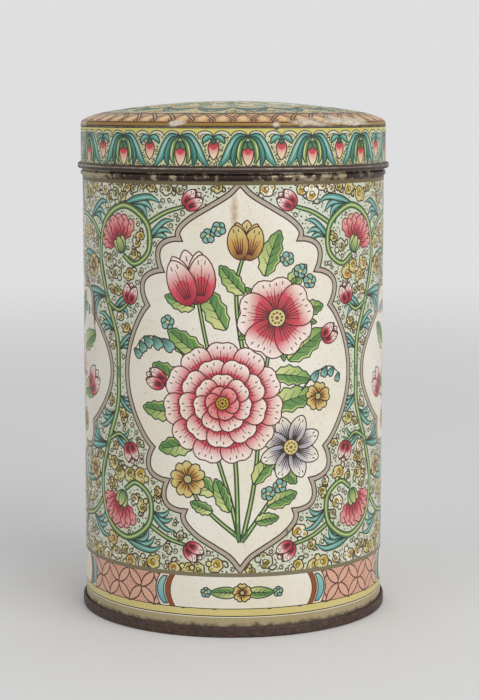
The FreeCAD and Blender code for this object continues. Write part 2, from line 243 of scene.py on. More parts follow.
@dataclass
class Patch:
    """One area of ink on a sheet: its outline, and two inks with the two points that they shade between."""

    TESTS_AT_ONCE = 2_000_000

    outline: np.ndarray
    inks: np.ndarray
    ramp: np.ndarray

    def __post_init__(self) -> None:
        """Keeps the outline's box and its edges' ends, which the tests need."""
        self.low, self.high = self.outline.min(axis=0), self.outline.max(axis=0)
        self.starts = self.outline.T[:, :, None]
        self.ends = np.roll(self.outline, -1, axis=0).T[:, :, None]

    def holds(self, points: np.ndarray) -> np.ndarray:
        """Tells which points lie in the area.

        Args:
            points: points of the sheet.

        Returns:
            One truth value to a point.
        """
        found = np.zeros(len(points), bool)
        near = np.flatnonzero(((points >= self.low) & (points <= self.high)).all(axis=1))
        if not len(near):
            return found
        (x0, y0), (x1, y1) = self.starts, self.ends
        for chunk in np.array_split(near, len(near) * len(self.outline) // self.TESTS_AT_ONCE + 1):
            x, y = points[chunk].T
            side = (x1 - x0) * (y - y0) - (x - x0) * (y1 - y0)
            up = (y0 <= y) & (y1 > y) & (side > 0)
            down = (y0 > y) & (y1 <= y) & (side < 0)
            found[chunk] = up.sum(axis=0) != down.sum(axis=0)
        return found

    def colours(self, points: np.ndarray) -> np.ndarray:
        """Shades the two inks over some points.

        Args:
            points: points of the sheet.

        Returns:
            The ink at each point, in linear light.
        """
        way = self.ramp[1] - self.ramp[0]
        share = np.clip((points - self.ramp[0]) @ way / max(way @ way, TINY), 0, 1)[..., None]
        return self.inks[0] * (1 - share) + self.inks[1] * share


def topmost(patches: Sequence[Patch], points: np.ndarray) -> Iterator[tuple[Patch, np.ndarray]]:
    """Goes through areas of ink from the top down.

    Args:
        patches: the areas, each over the ones before it.
        points: points of the sheet.

    Yields:
        An area, and the numbers of the points where it is the topmost.
    """
    order = np.argsort(points[:, 0])
    ranked = points[order, 0]
    bare = np.ones(len(points), bool)
    for patch in reversed(patches):
        first, last = np.searchsorted(ranked, (patch.low[0], patch.high[0]))
        near = order[first:last]
        near = near[bare[near]]
        near = near[patch.holds(points[near])]
        bare[near] = False
        yield patch, near


class Sheet:
    """A flat printed sheet in millimetres: areas of ink, each over the ones before it."""

    def __init__(self, *parts: "Sheet") -> None:
        """Starts with the areas of other sheets, or with none."""
        self.patches = [patch for part in parts for patch in part.patches]

    def fill(
        self, outline: np.ndarray, ink: Ink, tip: Optional[Ink] = None, ramp: Sequence[Point] = ()
    ) -> None:
        """Adds an area of ink.

        Args:
            outline: its outline.
            ink: its ink, or the ink at the start of the ramp.
            tip: the ink at the end of the ramp.
            ramp: the two points that the inks shade between.
        """
        inks = np.array([ink.light, (tip or ink).light])
        shade = np.array(ramp or ((0, 0), (0, 1)), float)
        self.patches.append(Patch(np.asarray(outline, float), inks, shade))

    def block(self, low: Point, high: Point, ink: Ink) -> None:
        """Adds a rectangle of ink between two corners."""
        self.fill(corners(low, high), ink)

    def covered(self, points: np.ndarray) -> np.ndarray:
        """Tells which points have ink on them.

        Args:
            points: points of the sheet.

        Returns:
            One truth value to a point.
        """
        found = np.zeros(len(points), bool)
        for _patch, inked in topmost(self.patches, points):
            found[inked] = True
        return found


@dataclass(frozen=True)
class Pen:
    """A place on a sheet to draw a motif from: the motif grows along the pen's own +y."""

    sheet: Sheet
    x: float = 0.0
    y: float = 0.0
    turn: float = 0.0
    size: float = 1.0
    flip: int = 1

    def placed(self, points: Union[np.ndarray, Sequence[Point]]) -> np.ndarray:
        """Turns points of the pen's own frame into points of the sheet.

        Args:
            points: the points, in the pen's own frame.

        Returns:
            The same points on the sheet.
        """
        local = np.asarray(points, float) * self.size * (self.flip, 1)
        sine, cosine = math.sin(math.radians(self.turn)), math.cos(math.radians(self.turn))
        return local @ np.array([[cosine, sine], [-sine, cosine]]) + (self.x, self.y)

    def at(self, x: float, y: float, turn: float = 0.0, size: float = 1.0, flip: int = 1) -> "Pen":
        """Returns a pen at a place, turn and scale that are given in this pen's own frame."""
        place = self.placed([(x, y)])[0]
        return Pen(self.sheet, *place, self.turn + self.flip * turn, self.size * size, self.flip * flip)

    def shape(
        self,
        outline: np.ndarray,
        ink: Ink,
        tip: Optional[Ink] = None,
        ramp: tuple[float, float] = (0.0, 1.0),
        line: Optional[Ink] = Ink.KEY,
        width: float = 0.36,
    ) -> None:
        """Draws a filled shape with a line round it.

        Args:
            outline: the shape, in the pen's own frame.
            ink: its ink, or its ink at the foot.
            tip: its ink at the tip.
            ramp: where the foot's ink ends and the tip's starts, as shares of the shape's height.
            line: the ink of the line round it, if it has one.
            width: the width of that line.
        """
        placed = self.placed(outline)
        if line:
            self.sheet.fill(grown(placed, width), line)
        foot, height = outline[:, 1].min(), np.ptp(outline[:, 1])
        ends = self.placed([(0, foot + share * height) for share in ramp])
        self.sheet.fill(placed, ink, tip, [tuple(end) for end in ends])

    def stroke(
        self, path: Union[np.ndarray, Sequence[Point]], widths: Sequence[float], ink: Ink = Ink.KEY
    ) -> None:
        """Draws a line of changing width."""
        self.sheet.fill(ribbon(self.placed(path), widths), ink)

    def stem(self, points: Sequence[Point], widths: Sequence[float]) -> None:
        """Draws a smooth green stalk with a dark line along both sides and a pale one along the middle.

        Args:
            points: the points that the stalk goes through.
            widths: its widths, evenly spread from its start to its end.
        """
        path = curve(points)
        self.stroke(path, [width + 0.7 for width in widths], Ink.GREEN_KEY)
        self.stroke(path, widths, Ink.VINE)
        self.stroke(path[1:-1], [width * 0.3 for width in widths], Ink.PALE_LEAF)


Shades = tuple[Ink, Ink, Ink]


class Flora:
    """Common garden flowers and leaves, each drawn from a pen at its foot or its middle."""

    RED: Shades = (Ink.CRIMSON, Ink.ROSE, Ink.BLUSH)
    PINK: Shades = (Ink.CRIMSON, Ink.ROSE, Ink.PINK)
    AMBER: Shades = (Ink.BROWN, Ink.AMBER, Ink.YELLOW)
    GREY: Shades = (Ink.SLATE, Ink.LILAC, Ink.WHITE)

    @staticmethod
    def leaf(pen: Pen, length: float, width: float, bend: float = 0.0, teeth: float = 0.12) -> None:
        """Draws a leaf with a darker half, a midrib and veins.

        Args:
            pen: a pen at the leaf's foot.
            length: from the foot to the tip.
            width: at the widest place.
            bend: how far the tip bows to one side.
            teeth: depth of the teeth, as a share of the width.
        """

        def bent(points: Union[np.ndarray, Sequence[Point]]) -> np.ndarray:
            """Bows points of the straight leaf to one side."""
            straight = np.asarray(points, float)
            return straight + np.column_stack([bend * (straight[:, 1] / length) ** 2, 0 * straight[:, 0]])

        outline = petal(length, width, belly=-0.2, sharp=0.3, teeth=teeth, points=13)
        rib = np.column_stack([np.zeros(5), np.linspace(0, length * 0.94, 5)])
        pen.shape(bent(outline), Ink.PALE_LEAF, Ink.LEAF, (0.2, 0.9), Ink.GREEN_KEY)
        half = np.vstack([outline[1:11] * (0.84, 1), rib[::-1]])
        pen.shape(bent(half), Ink.LEAF, Ink.DARK_LEAF, line=None)
        pen.stroke(bent(rib), (0.42, 0.2), Ink.GREEN_KEY)
        for share in (0.22, 0.4, 0.58):
            for side in (-1, 1):
                vein = [(0, share * length), (side * width * 0.32, (share + 0.17) * length)]
                pen.stroke(bent(vein), (0.26, 0.12), Ink.GREEN_KEY)

    @staticmethod
    def hatched(pen: Pen, outline: np.ndarray, shades: Shades, line: Ink, strokes: int) -> None:
        """Draws a petal that pales from its foot to its edge, with a fan of fine lines over the foot.

        Args:
            pen: a pen at the petal's foot.
            outline: the petal.
            shades: its inks, from the foot to the edge.
            line: the ink of its outline and of the fine lines.
            strokes: the number of fine lines.
        """
        deep, middle, pale = shades
        pen.shape(outline, middle, pale, (0.42, 0.84), line)
        pen.shape(outline * (0.7, 0.56), deep, middle, (0.0, 0.9), None)
        length, width = outline[:, 1].max(), np.ptp(outline[:, 0])
        for number in range(strokes):
            lean = (number + 0.5) / strokes * 2 - 1
            rise = 0.8 - 0.22 * abs(lean) - 0.1 * (number % 2)
            ends = [(lean * width * 0.14, length * 0.14), (lean * width * 0.36, length * rise)]
            pen.stroke(ends, (0.4, 0.14), line)
            if length > 4 and number % 2:
                tick = [(lean * width * 0.3, length * 0.8), (lean * width * 0.33, length * 0.9)]
                pen.stroke(tick, (0.36, 0.24))

    @classmethod
    def ring(
        cls,
        pen: Pen,
        count: int,
        base: float,
        outline: np.ndarray,
        shades: Shades,
        line: Ink,
        strokes: int = 4,
        start: float = 0.0,
    ) -> None:
        """Draws a ring of petals round a flower's middle, their feet at a distance from it.

        Args:
            pen: a pen at the flower's middle.
            count: the number of petals.
            base: the distance of their feet from the middle.
            outline: one petal.
            shades: its inks, from the foot to the edge.
            line: the ink of the lines.
            strokes: the number of fine lines on a petal.
            start: the first petal's turn in degrees.
        """
        for number in range(count):
            turn = start + 360 * number / count
            foot = (-base * math.sin(math.radians(turn)), base * math.cos(math.radians(turn)))
            cls.hatched(pen.at(*foot, turn), outline, shades, line, strokes)

    @staticmethod
    def eye(pen: Pen, radius: float, ink: Ink, dots: Ink) -> None:
        """Draws a flower's middle with a ring of stamens.

        Args:
            pen: a pen at the flower's middle.
            radius: the radius of the eye.
            ink: its ink.
            dots: the ink of the stamens.
        """
        pen.shape(disc(radius, 14), ink)
        for spot in disc(0.62 * radius, 9):
            pen.shape(disc(radius * 0.17, 6, spot), dots, line=None)
        pen.shape(disc(radius * 0.24, 8), dots, line=None)

    @classmethod
    def dahlia(cls, pen: Pen, radius: float) -> None:
        """Draws a large full flower: four rings of petals, deep red inside and pale at the edges.

        Args:
            pen: a pen at the flower's middle.
            radius: the flower's radius.
        """
        rings = ((11, 0.48, 0.52, 0.5, 6, 0), (9, 0.27, 0.46, 0.44, 5, 17), (7, 0.1, 0.38, 0.37, 4, 0))
        for count, base, length, width, strokes, start in rings:
            outline = petal(radius * length, radius * width, notch=0.07)
            cls.ring(pen, count, radius * base, outline, cls.RED, Ink.RED_KEY, strokes, start)
        cls.ring(pen, 6, 0.0, petal(radius * 0.27, radius * 0.25), cls.PINK, Ink.RED_KEY, 2, 20)
        cls.eye(pen, radius * 0.1, Ink.OCHRE, Ink.RED_KEY)

    @classmethod
    def dog_rose(cls, pen: Pen, radius: float) -> None:
        """Draws an open flower of five broad notched petals.

        Args:
            pen: a pen at the flower's middle.
            radius: the flower's radius.
        """
        for number in range(5):
            cls.leaf(pen.at(0, 0, 36 + 72 * number), radius * 1.04, radius * 0.26, teeth=0)
        outline = petal(radius * 0.9, radius * 1.02, notch=0.12, points=13)
        cls.ring(pen, 5, radius * 0.08, outline, cls.RED, Ink.RED_KEY, 8)
        cls.eye(pen, radius * 0.2, Ink.STRAW, Ink.BROWN)

    @classmethod
    def tulip(cls, pen: Pen, height: float, shades: Shades = RED) -> None:
        """Draws a tulip from its foot: two outer petals in front of three inner ones.

        Args:
            pen: a pen at the tulip's foot.
            height: from the foot to the tips.
            shades: its inks, from the foot to the edges.
        """
        for turn, reach in ((0, 0.98), (16, 0.94), (-16, 0.94)):
            inner = petal(height * reach, height * 0.36, 0.1, 0.35)
            cls.hatched(pen.at(0, 0, turn), inner, shades, Ink.RED_KEY, 3)
        for side in (1, -1):
            face = pen.at(side * height * 0.1, 0, side * -13)
            cls.hatched(face, petal(height * 0.86, height * 0.5, -0.1, 0.25), shades, Ink.RED_KEY, 5)

    @classmethod
    def clematis(cls, pen: Pen, radius: float) -> None:
        """Draws a flat flower of eight pointed grey-white petals.

        Args:
            pen: a pen at the flower's middle.
            radius: the flower's radius.
        """
        outline = petal(radius * 0.86, radius * 0.5, 0.0, 0.3)
        cls.ring(pen, 8, radius * 0.12, outline, cls.GREY, Ink.KEY, 5, 22.5)
        cls.eye(pen, radius * 0.22, Ink.YELLOW, Ink.BROWN)

    @classmethod
    def primrose(cls, pen: Pen, radius: float) -> None:
        """Draws a small amber flower of five notched petals.

        Args:
            pen: a pen at the flower's middle.
            radius: the flower's radius.
        """
        outline = petal(radius * 0.9, radius * 0.86, 0.35, notch=0.16, points=9)
        cls.ring(pen, 5, radius * 0.08, outline, cls.AMBER, Ink.KEY, 3)
        cls.eye(pen, radius * 0.18, Ink.STRAW, Ink.BROWN)

    @staticmethod
    def forget_me_not(pen: Pen, radius: float) -> None:
        """Draws a tiny blue flower of five round petals.

        Args:
            pen: a pen at the flower's middle.
            radius: the flower's radius.
        """
        for number in range(5):
            pen.at(0, 0, 72 * number).shape(petal(radius, radius * 0.82, 0.4, points=7), Ink.TEAL, Ink.SKY)
        pen.shape(disc(radius * 0.26, 7), Ink.YELLOW, width=0.14)

    @staticmethod
    def bluebells(pen: Pen, length: float, bells: int = 5) -> None:
        """Draws an arching stalk of hanging bells, smaller towards its tip.

        Args:
            pen: a pen at the stalk's foot.
            length: the stalk's reach.
            bells: the number of bells.
        """
        arch = np.array([(0, 0), (0.12, 0.5), (0.42, 0.86), (0.78, 0.84)]) * length
        path = curve(arch, steps=8)
        pen.stroke(path, (0.6, 0.3), Ink.GREEN_KEY)
        for number in range(bells):
            share = 0.42 + 0.58 * number / (bells - 1)
            spot = path[int(share * (len(path) - 1))]
            size = length * (0.28 - 0.1 * number / bells)
            bell = pen.at(*spot, 180 + 14 * (number % 2) - 7)
            outline = petal(size, size * 0.64, 0.45, notch=0.14, points=9)
            bell.shape(outline, Ink.DEEP_TEAL, Ink.SKY)
            bell.stroke([(0, size * 0.2), (0, size * 0.7)], (0.24, 0.12), Ink.DEEP_TEAL)

    @classmethod
    def carnation(cls, pen: Pen, radius: float) -> None:
        """Draws a fan of toothed petals that opens from a green cup at its foot.

        Args:
            pen: a pen at the flower's foot.
            radius: the length of the petals.
        """
        outline = petal(radius, radius * 0.44, 0.5, 0.1, teeth=0.16, points=11)
        for turn in (62, -62, 40, -40, 20, -20, 0):
            cls.hatched(pen.at(0, radius * 0.2, turn), outline, cls.PINK, Ink.RED_KEY, 4)
        sepal = petal(radius * 0.56, radius * 0.3, -0.2, 0.3, points=9)
        for turn in (24, -24, 0):
            pen.at(0, -radius * 0.12, turn).shape(sepal, Ink.DARK_LEAF, Ink.PALE_LEAF, line=Ink.GREEN_KEY)

    @staticmethod
    def feather(pen: Pen, length: float, fingers: int = 4, ink: Ink = Ink.TEAL, shine: Ink = Ink.SKY) -> None:
        """Draws a spray of tapering blue-green leaflets that curl over to one side.

        Args:
            pen: a pen at the spray's foot.
            length: the longest leaflet's reach.
            fingers: the number of leaflets.
            ink: their ink.
            shine: the ink of the light along them.
        """
        for number in range(fingers):
            lean = 1 - number / max(fingers - 1, 1)
            reach = length * (1 - 0.3 * lean)
            bow = [
                (0, 0),
                (0.06 + 0.1 * lean, 0.42),
                (0.2 + 0.34 * lean, 0.8 - 0.2 * lean),
                (0.44 + 0.46 * lean, 0.98 - 0.5 * lean),
            ]
            path = curve(np.array(bow) * reach)
            width = length * 0.12
            pen.stroke(path, (0.7, width + 0.7, width + 0.56, 0.4), Ink.KEY)
            pen.stroke(path[1:], (0.1, width, width * 0.8, 0.05), ink)
            pen.stroke(path[3:-2] + (0.14, 0.12), (0.1, width * 0.42, 0.1), shine)


class Ground:
    """The close filling of a printed field: yellow scroll clouds, coils, ticks and dots."""

    FILLS = (
        (Ink.STRAW, Ink.OCHRE),
        (Ink.STRAW, Ink.OLIVE),
        (Ink.CREAM, Ink.OCHRE),
        (Ink.STRAW, Ink.AMBER),
        (Ink.PAPER, Ink.OLIVE),
    )

    def __init__(self, seed: int, keep_off: Sheet) -> None:
        """Starts an empty filling.

        Args:
            seed: sets the order of chance.
            keep_off: the motifs that the filling keeps clear of.
        """
        self.chance = np.random.default_rng(seed)
        self.keep_off = keep_off
        self.sheet = Sheet()

    def spots(self, low: Point, high: Point, apart: float, clear: float) -> np.ndarray:
        """Strews points over a rectangle, on a loose grid of staggered rows.

        Args:
            low: its low corner.
            high: its high corner.
            apart: the mean distance between two points.
            clear: how far they stay from the motifs and from what is strewn already.

        Returns:
            The points, one to a row.
        """
        rows = np.arange(low[1] + apart * 0.4, high[1], apart * 0.87)
        columns = np.arange(low[0], high[0], apart)
        x, y = np.meshgrid(columns, rows)
        x[1::2] += apart / 2
        loose = np.column_stack([x.ravel(), y.ravel()])
        loose += self.chance.uniform(-0.26, 0.26, loose.shape) * apart
        tests = loose[:, None, :] + np.vstack([(0, 0), disc(clear, 8)])
        taken = Sheet(self.keep_off, self.sheet).covered(tests.reshape(-1, 2))
        return loose[~taken.reshape(len(loose), -1).any(axis=1)]

    @staticmethod
    def coil(pen: Pen, radius: float, width: float = 0.3) -> None:
        """Draws a small spiral.

        Args:
            pen: a pen at its middle.
            radius: its outer radius.
            width: the width of its line.
        """
        angle = np.linspace(0, 2.4 * math.pi, 9)
        reach = radius * np.linspace(1, 0.3, 9)
        path = np.column_stack([reach * np.cos(angle), reach * np.sin(angle)])
        pen.stroke(path, (width * 0.6, width, width), Ink.SEPIA)

    def cloud(self, pen: Pen, radius: float, count: int) -> None:
        """Draws a scroll cloud: a round head with a spiral, lobes that dwindle round it, and a thin tail.

        Args:
            pen: a pen at its middle.
            radius: the cloud's radius.
            count: the number of lobes, the head among them.
        """
        pale, deep = self.FILLS[self.chance.integers(len(self.FILLS))]
        angle = np.radians(np.linspace(0, 56 * (count - 1), count) + self.chance.uniform(-8, 8, count))
        reach = radius * np.linspace(0.14, 0.88, count)
        middles = np.column_stack([reach * np.cos(angle), reach * np.sin(angle)])
        sizes = np.linspace(0.62, 0.3, count) * radius * self.chance.uniform(0.92, 1.08, count)
        lobes = [pen.placed(disc(size, 7, middle)) for size, middle in zip(sizes, middles)]
        tail = ((0.3, 0.2), (0.95, 0.1), (1.3, 0.5), (1.15, 1.0), (0.8, 0.95), (0.85, 0.65))
        pen.stroke(curve(np.array(tail) * radius, steps=2), (0.6, 0.5, 0.36), Ink.SEPIA)
        for outline in lobes:
            pen.sheet.fill(grown(outline, 0.4), Ink.SEPIA)
        for outline in lobes:
            pen.sheet.fill(outline, pale)
        pen.sheet.fill(pen.placed(disc(radius * 0.4, 6, (radius * 0.3, -radius * 0.12))), deep)
        for size, middle in zip(sizes[1::2], middles[1::2]):
            pen.sheet.fill(pen.placed(disc(size * 0.6, 5, middle * 1.12)), deep)
        self.coil(pen, radius * 0.46, 0.34)

    def any_pen(self, place: np.ndarray) -> Pen:
        """Returns a pen at a place, turned by chance."""
        return Pen(self.sheet, *place, self.chance.uniform(0, 360), 1.0, int(self.chance.choice((1, -1))))

    def strew(self, low: Point, high: Point) -> None:
        """Fills a rectangle with large and small clouds, then coils, then ticks and dots in what is left.

        Args:
            low: its low corner.
            high: its high corner.
        """
        for apart, clear, radius, lobes in ((4.7, 1.8, 2.3, 5), (3.1, 1.15, 1.5, 4)):
            for place in self.spots(low, high, apart, clear):
                self.cloud(self.any_pen(place), radius * self.chance.uniform(0.85, 1.15), lobes)
        for place in self.spots(low, high, 2.0, 0.75):
            self.coil(self.any_pen(place), self.chance.uniform(0.7, 1.05), 0.42)
        self.sprinkle(low, high, 1.3, 0.3)

    def sprinkle(self, low: Point, high: Point, apart: float, clear: float) -> None:
        """Fills what is left of a rectangle with dots and short ticks.

        Args:
            low: its low corner.
            high: its high corner.
            apart: the mean distance between two marks.
            clear: how far they stay from what is drawn already.
        """
        for place in self.spots(low, high, apart, clear):
            pen = self.any_pen(place)
            if self.chance.random() < 0.35:
                pen.stroke([(-0.45, 0), (0, 0.16), (0.45, 0)], (0.2, 0.42, 0.2))
            else:
                pen.shape(disc(self.chance.uniform(0.22, 0.38), 4), Ink.KEY, line=None)


class Former:
    """A metal shape that a flat drawing is laid on."""

    FACETS = 192

    def folds(self, border: np.ndarray) -> list[np.ndarray]:
        """Finds the lines along which the drawing bends.

        Args:
            border: the outline of the piece.

        Returns:
            The lines, some of which may reach past the border.
        """
        raise NotImplementedError

    def lay(self, points: np.ndarray, proud: float) -> tuple[np.ndarray, np.ndarray]:
        """Returns where points of the drawing come to lie, and which way they face.

        Args:
            points: points of the flat drawing.
            proud: how far above the metal they lie, in millimetres.

        Returns:
            The places in metres, and the outward directions.
        """
        raise NotImplementedError


@dataclass(frozen=True)
class Roll(Former):
    """A tube: the drawing's x runs round it from the front, and y is the height."""

    radius: float

    def length(self, bearing: float) -> float:
        """Returns the length round the tube that a bearing in degrees is from the front."""
        return math.radians(bearing) * self.radius

    def folds(self, border: np.ndarray) -> list[np.ndarray]:
        """Finds upright lines, one to a facet.

        Args:
            border: the outline of the piece.

        Returns:
            The lines, from the border's foot to its head.
        """
        step = self.length(360 / self.FACETS)
        (left, foot), (right, head) = border.min(axis=0), border.max(axis=0)
        columns = range(math.floor(left / step + 0.01) + 1, math.ceil(right / step - 0.01))
        return [np.array([(column * step, foot), (column * step, head)]) for column in columns]

    def lay(self, points: np.ndarray, proud: float) -> tuple[np.ndarray, np.ndarray]:
        """Bends the drawing round the tube.

        Args:
            points: points of the flat drawing.
            proud: how far above the metal they lie, in millimetres.

        Returns:
            The places in metres, and the outward directions.
        """
        angle = points[:, 0] / self.radius
        facing = np.column_stack([np.sin(angle), -np.cos(angle), np.zeros(len(points))])
        places = facing * (self.radius + proud)
        places[:, 2] = points[:, 1]
        return places * MM, facing


@dataclass(frozen=True)
class Dome(Former):
    """The lid's top: the drawing is seen from above, and distances from its middle run along the metal."""

    dome_round: float = 230.0
    dome_edge: float = 37.0
    shoulder_round: float = 30.0
    corner_round: float = 2.0
    outside: float = 45.45
    apex: float = 151.763
    rim: float = 0.08
    fold_steps: tuple[float, float, float] = (4.0, 1.1, 0.35)
    coarse_inside: float = 20.0

    def runs(self) -> tuple[tuple[float, float, float, float, float], ...]:
        """Works out the section of the top, as arcs that are tangent to each other.

        Returns:
            The arcs from the middle out, each as its start along the metal, its first slope, its radius and
            how far out and up its centre lies.
        """
        dome_slope = math.asin(self.dome_edge / self.dome_round)
        dome_centre = self.apex - self.dome_round
        reach = self.dome_round - self.shoulder_round
        shoulder = (reach * math.sin(dome_slope), dome_centre + reach * math.cos(dome_slope))
        corner_out = self.outside - self.corner_round
        reach = self.shoulder_round - self.corner_round
        corner_slope = math.asin((corner_out - shoulder[0]) / reach)
        corner_up = shoulder[1] + reach * math.cos(corner_slope)
        dome_end = self.dome_round * dome_slope
        shoulder_end = dome_end + self.shoulder_round * (corner_slope - dome_slope)
        return (
            (0.0, 0.0, self.dome_round, 0.0, dome_centre),
            (dome_end, dome_slope, self.shoulder_round, *shoulder),
            (shoulder_end, corner_slope, self.corner_round, corner_out, corner_up),
        )

    def edge(self) -> float:
        """Returns how far along the metal the outer edge is from the middle."""
        start, slope, radius, _out, _up = self.runs()[-1]
        return start + (math.pi / 2 - slope) * radius + self.rim

    def folds(self, border: np.ndarray) -> list[np.ndarray]:
        """Finds rings, close together where the section is tightly bent.

        Args:
            border: the outline of the piece; not used here.

        Returns:
            The rings, each with its first point again at its end.
        """
        shoulder, corner = (run[0] for run in self.runs()[1:])
        flat, bent, tight = self.fold_steps
        reaches = (
            *np.arange(flat, shoulder - 1, flat), *np.arange(shoulder, corner - 0.3, bent),
            *np.arange(corner, self.edge() - 0.1, tight),
        )
        sides = (self.FACETS if reach > self.coarse_inside else self.FACETS // 2 for reach in reaches)
        rings = [disc(reach, count) for reach, count in zip(reaches, sides)]
        return [np.vstack([ring, ring[:1]]) for ring in rings]

    def lay(self, points: np.ndarray, proud: float) -> tuple[np.ndarray, np.ndarray]:
        """Drapes the drawing over the dome, the shoulder and the corner.

        Args:
            points: points of the flat drawing.
            proud: how far above the metal they lie, in millimetres.

        Returns:
            The places in metres, and the outward directions.
        """
        reach = np.linalg.norm(points, axis=1)
        out, up, slope = np.zeros_like(reach), np.zeros_like(reach), np.zeros_like(reach)
        for start, first, radius, centre_out, centre_up in self.runs():
            here = reach >= start - TINY
            slope[here] = np.minimum(first + (reach[here] - start) / radius, math.pi / 2)
            out[here] = centre_out + (radius + proud) * np.sin(slope[here])
            up[here] = centre_up + (radius + proud) * np.cos(slope[here])
        up -= np.maximum(reach - (self.edge() - self.rim), 0)
        way = points / np.maximum(reach, TINY)[:, None]
        facing = np.column_stack([way * np.sin(slope)[:, None], np.cos(slope)])
        return np.column_stack([way * out[:, None], up]) * MM, facing


class Press:
    """Turns a drawing into a thin closed coat on its metal: every area of ink becomes faces of its colour."""

    EPSILON = 1e-4
    FRONT, BACK = 0.03, 0.006
    FRONT_MAP, SIDE_MAP, BACK_MAP = (0.0, 0.97), (0.974, 0.982), (0.986, 0.999)

    def __init__(self, sheet: Sheet, former: Former) -> None:
        """Takes the drawing and the metal that it goes on."""
        self.sheet = sheet
        self.former = former

    def cut(self, lines: Sequence[np.ndarray], border: np.ndarray) -> tuple[np.ndarray, np.ndarray, list]:
        """Cuts the inside of a border into triangles along lines and along its folds.

        Args:
            lines: the lines, a closed one with its first point again at its end.
            border: the outline of the piece.

        Returns:
            The points, the triangles, and for each point the numbers of the line points that it stands for.
        """
        runs = [*lines, *self.former.folds(border)]
        spots = np.vstack(runs)
        last = np.cumsum([len(run) for run in runs]) - 1
        first = np.setdiff1d(np.arange(len(spots)), last)
        edges = np.column_stack([first, first + 1])
        vectors = [Vector(spot) for spot in spots.tolist()]
        done = delaunay_2d_cdt(vectors, edges.tolist(), [], 0, self.EPSILON, True)
        points = np.array([tuple(spot) for spot in done[0]])
        triangles = np.array([face for face in done[2] if len(face) == 3])
        outline = Patch(border, np.zeros((2, 4)), np.zeros((2, 2)))
        return points, triangles[outline.holds(points[triangles].mean(axis=1))], done[3]

    def make(self, name: str, border: np.ndarray) -> bpy.types.Object:
        """Makes one printed piece.

        Args:
            name: the piece's name.
            border: its outline on the drawing.

        Returns:
            The piece, laid on its metal.
        """
        low, high = border.min(axis=0), border.max(axis=0)
        patches = [p for p in self.sheet.patches if (p.high > low).all() and (p.low < high).all()]
        loops = [border, *(patch.outline for patch in patches)]
        points, triangles, _ = self.cut([np.vstack([loop, loop[:1]]) for loop in loops], border)
        used, triangles = np.unique(triangles, return_inverse=True)
        points, triangles = points[used], triangles.reshape(-1, 3)
        corners = points[triangles]
        colours = np.ones((*corners.shape[:2], 4))
        for patch, faces in topmost(patches, corners.mean(axis=1)):
            colours[faces] = patch.colours(corners[faces])
        return self.coat(name, points, triangles, colours, border)

    def coat(
        self, name: str, points: np.ndarray, triangles: np.ndarray, colours: np.ndarray, border: np.ndarray
    ) -> bpy.types.Object:
        """Makes the mesh: the inked front, a plain back of large faces, and the narrow sides between them.

        Args:
            name: the piece's name.
            points: the front's points on the drawing.
            triangles: the front's triangles.
            colours: the ink at each corner of each triangle.
            border: the piece's outline on the drawing.

        Returns:
            The piece.
        """
        sides = triangles[:, [0, 1, 1, 2, 2, 0]].reshape(-1, 2)
        codes, turned = sides @ (len(points), 1), sides @ (1, len(points))
        rim = sides[~np.isin(codes, turned)]
        ends, rim_ends = np.unique(rim, return_inverse=True)
        rim_ends = rim_ends.reshape(-1, 2)
        back, back_triangles, origins = self.cut([points[ends][pair] for pair in rim_ends], border)
        under = np.zeros(2 * len(rim_ends), int)
        for number, stands_for in enumerate(origins):
            for origin in stands_for:
                if origin < len(under):
                    under[origin] = number
        under = under.reshape(-1, 2) + len(points)
        walls = np.column_stack([rim[:, ::-1], under])
        places, facing = self.former.lay(points, self.FRONT)
        back_places, back_facing = self.former.lay(back, self.BACK)
        faces = [*triangles.tolist(), *(back_triangles[:, ::-1] + len(points)).tolist(), *walls.tolist()]
        mesh = bpy.data.meshes.new(name)
        mesh.from_pydata([*places.tolist(), *back_places.tolist()], [], faces)
        plain = np.tile(Ink.DRAB.light, (3 * len(back_triangles) + 4 * len(walls), 1))
        inks = mesh.color_attributes.new("ink", "FLOAT_COLOR", "CORNER")
        inks.data.foreach_set("color", np.vstack([colours.reshape(-1, 4), plain]).ravel())
        unrolled = self.unrolled(points, triangles, back, back_triangles, len(walls))
        mesh.uv_layers.new(name="OFBake").data.foreach_set("uv", unrolled.ravel())
        mesh.polygons.foreach_set("use_smooth", np.ones(len(faces), bool))
        mesh.normals_split_custom_set_from_vertices([*facing.tolist(), *(-back_facing).tolist()])
        piece = bpy.data.objects.new(name, mesh)
        bpy.context.scene.collection.objects.link(piece)
        LOG.info("%s: %d faces, %d of them behind", name, len(faces), len(back_triangles))
        return piece

    def unrolled(
        self,
        points: np.ndarray,
        triangles: np.ndarray,
        back: np.ndarray,
        back_triangles: np.ndarray,
        walls: int,
    ) -> np.ndarray:
        """Lays out the map: the front over nearly all of it, the sides and the back in strips above it.

        Args:
            points: the front's points on the drawing.
            triangles: the front's triangles.
            back: the back's points on the drawing.
            back_triangles: the back's triangles.
            walls: the number of narrow faces between front and back.

        Returns:
            A place on the map for each corner of each face.
        """
        low, span = points.min(axis=0), np.ptp(points, axis=0)

        def strip(place: np.ndarray, limits: tuple[float, float]) -> np.ndarray:
            """Fits places between 0 and 1 into a strip of the map."""
            return place * (1, limits[1] - limits[0]) + (0, limits[0])

        front = strip((points - low) / span, self.FRONT_MAP)[triangles.ravel()]
        behind = strip((back - low) / span, self.BACK_MAP)[back_triangles[:, ::-1].ravel()]
        start = np.arange(walls)[:, None]
        square = np.array([(1, 1), (0, 1), (0, 0), (1, 0)])
        cells = np.stack([(start + square[:, 0]) / walls, np.tile(square[:, 1], (walls, 1))], axis=-1)
        return np.vstack([front, behind, strip(cells.reshape(-1, 2), self.SIDE_MAP)])


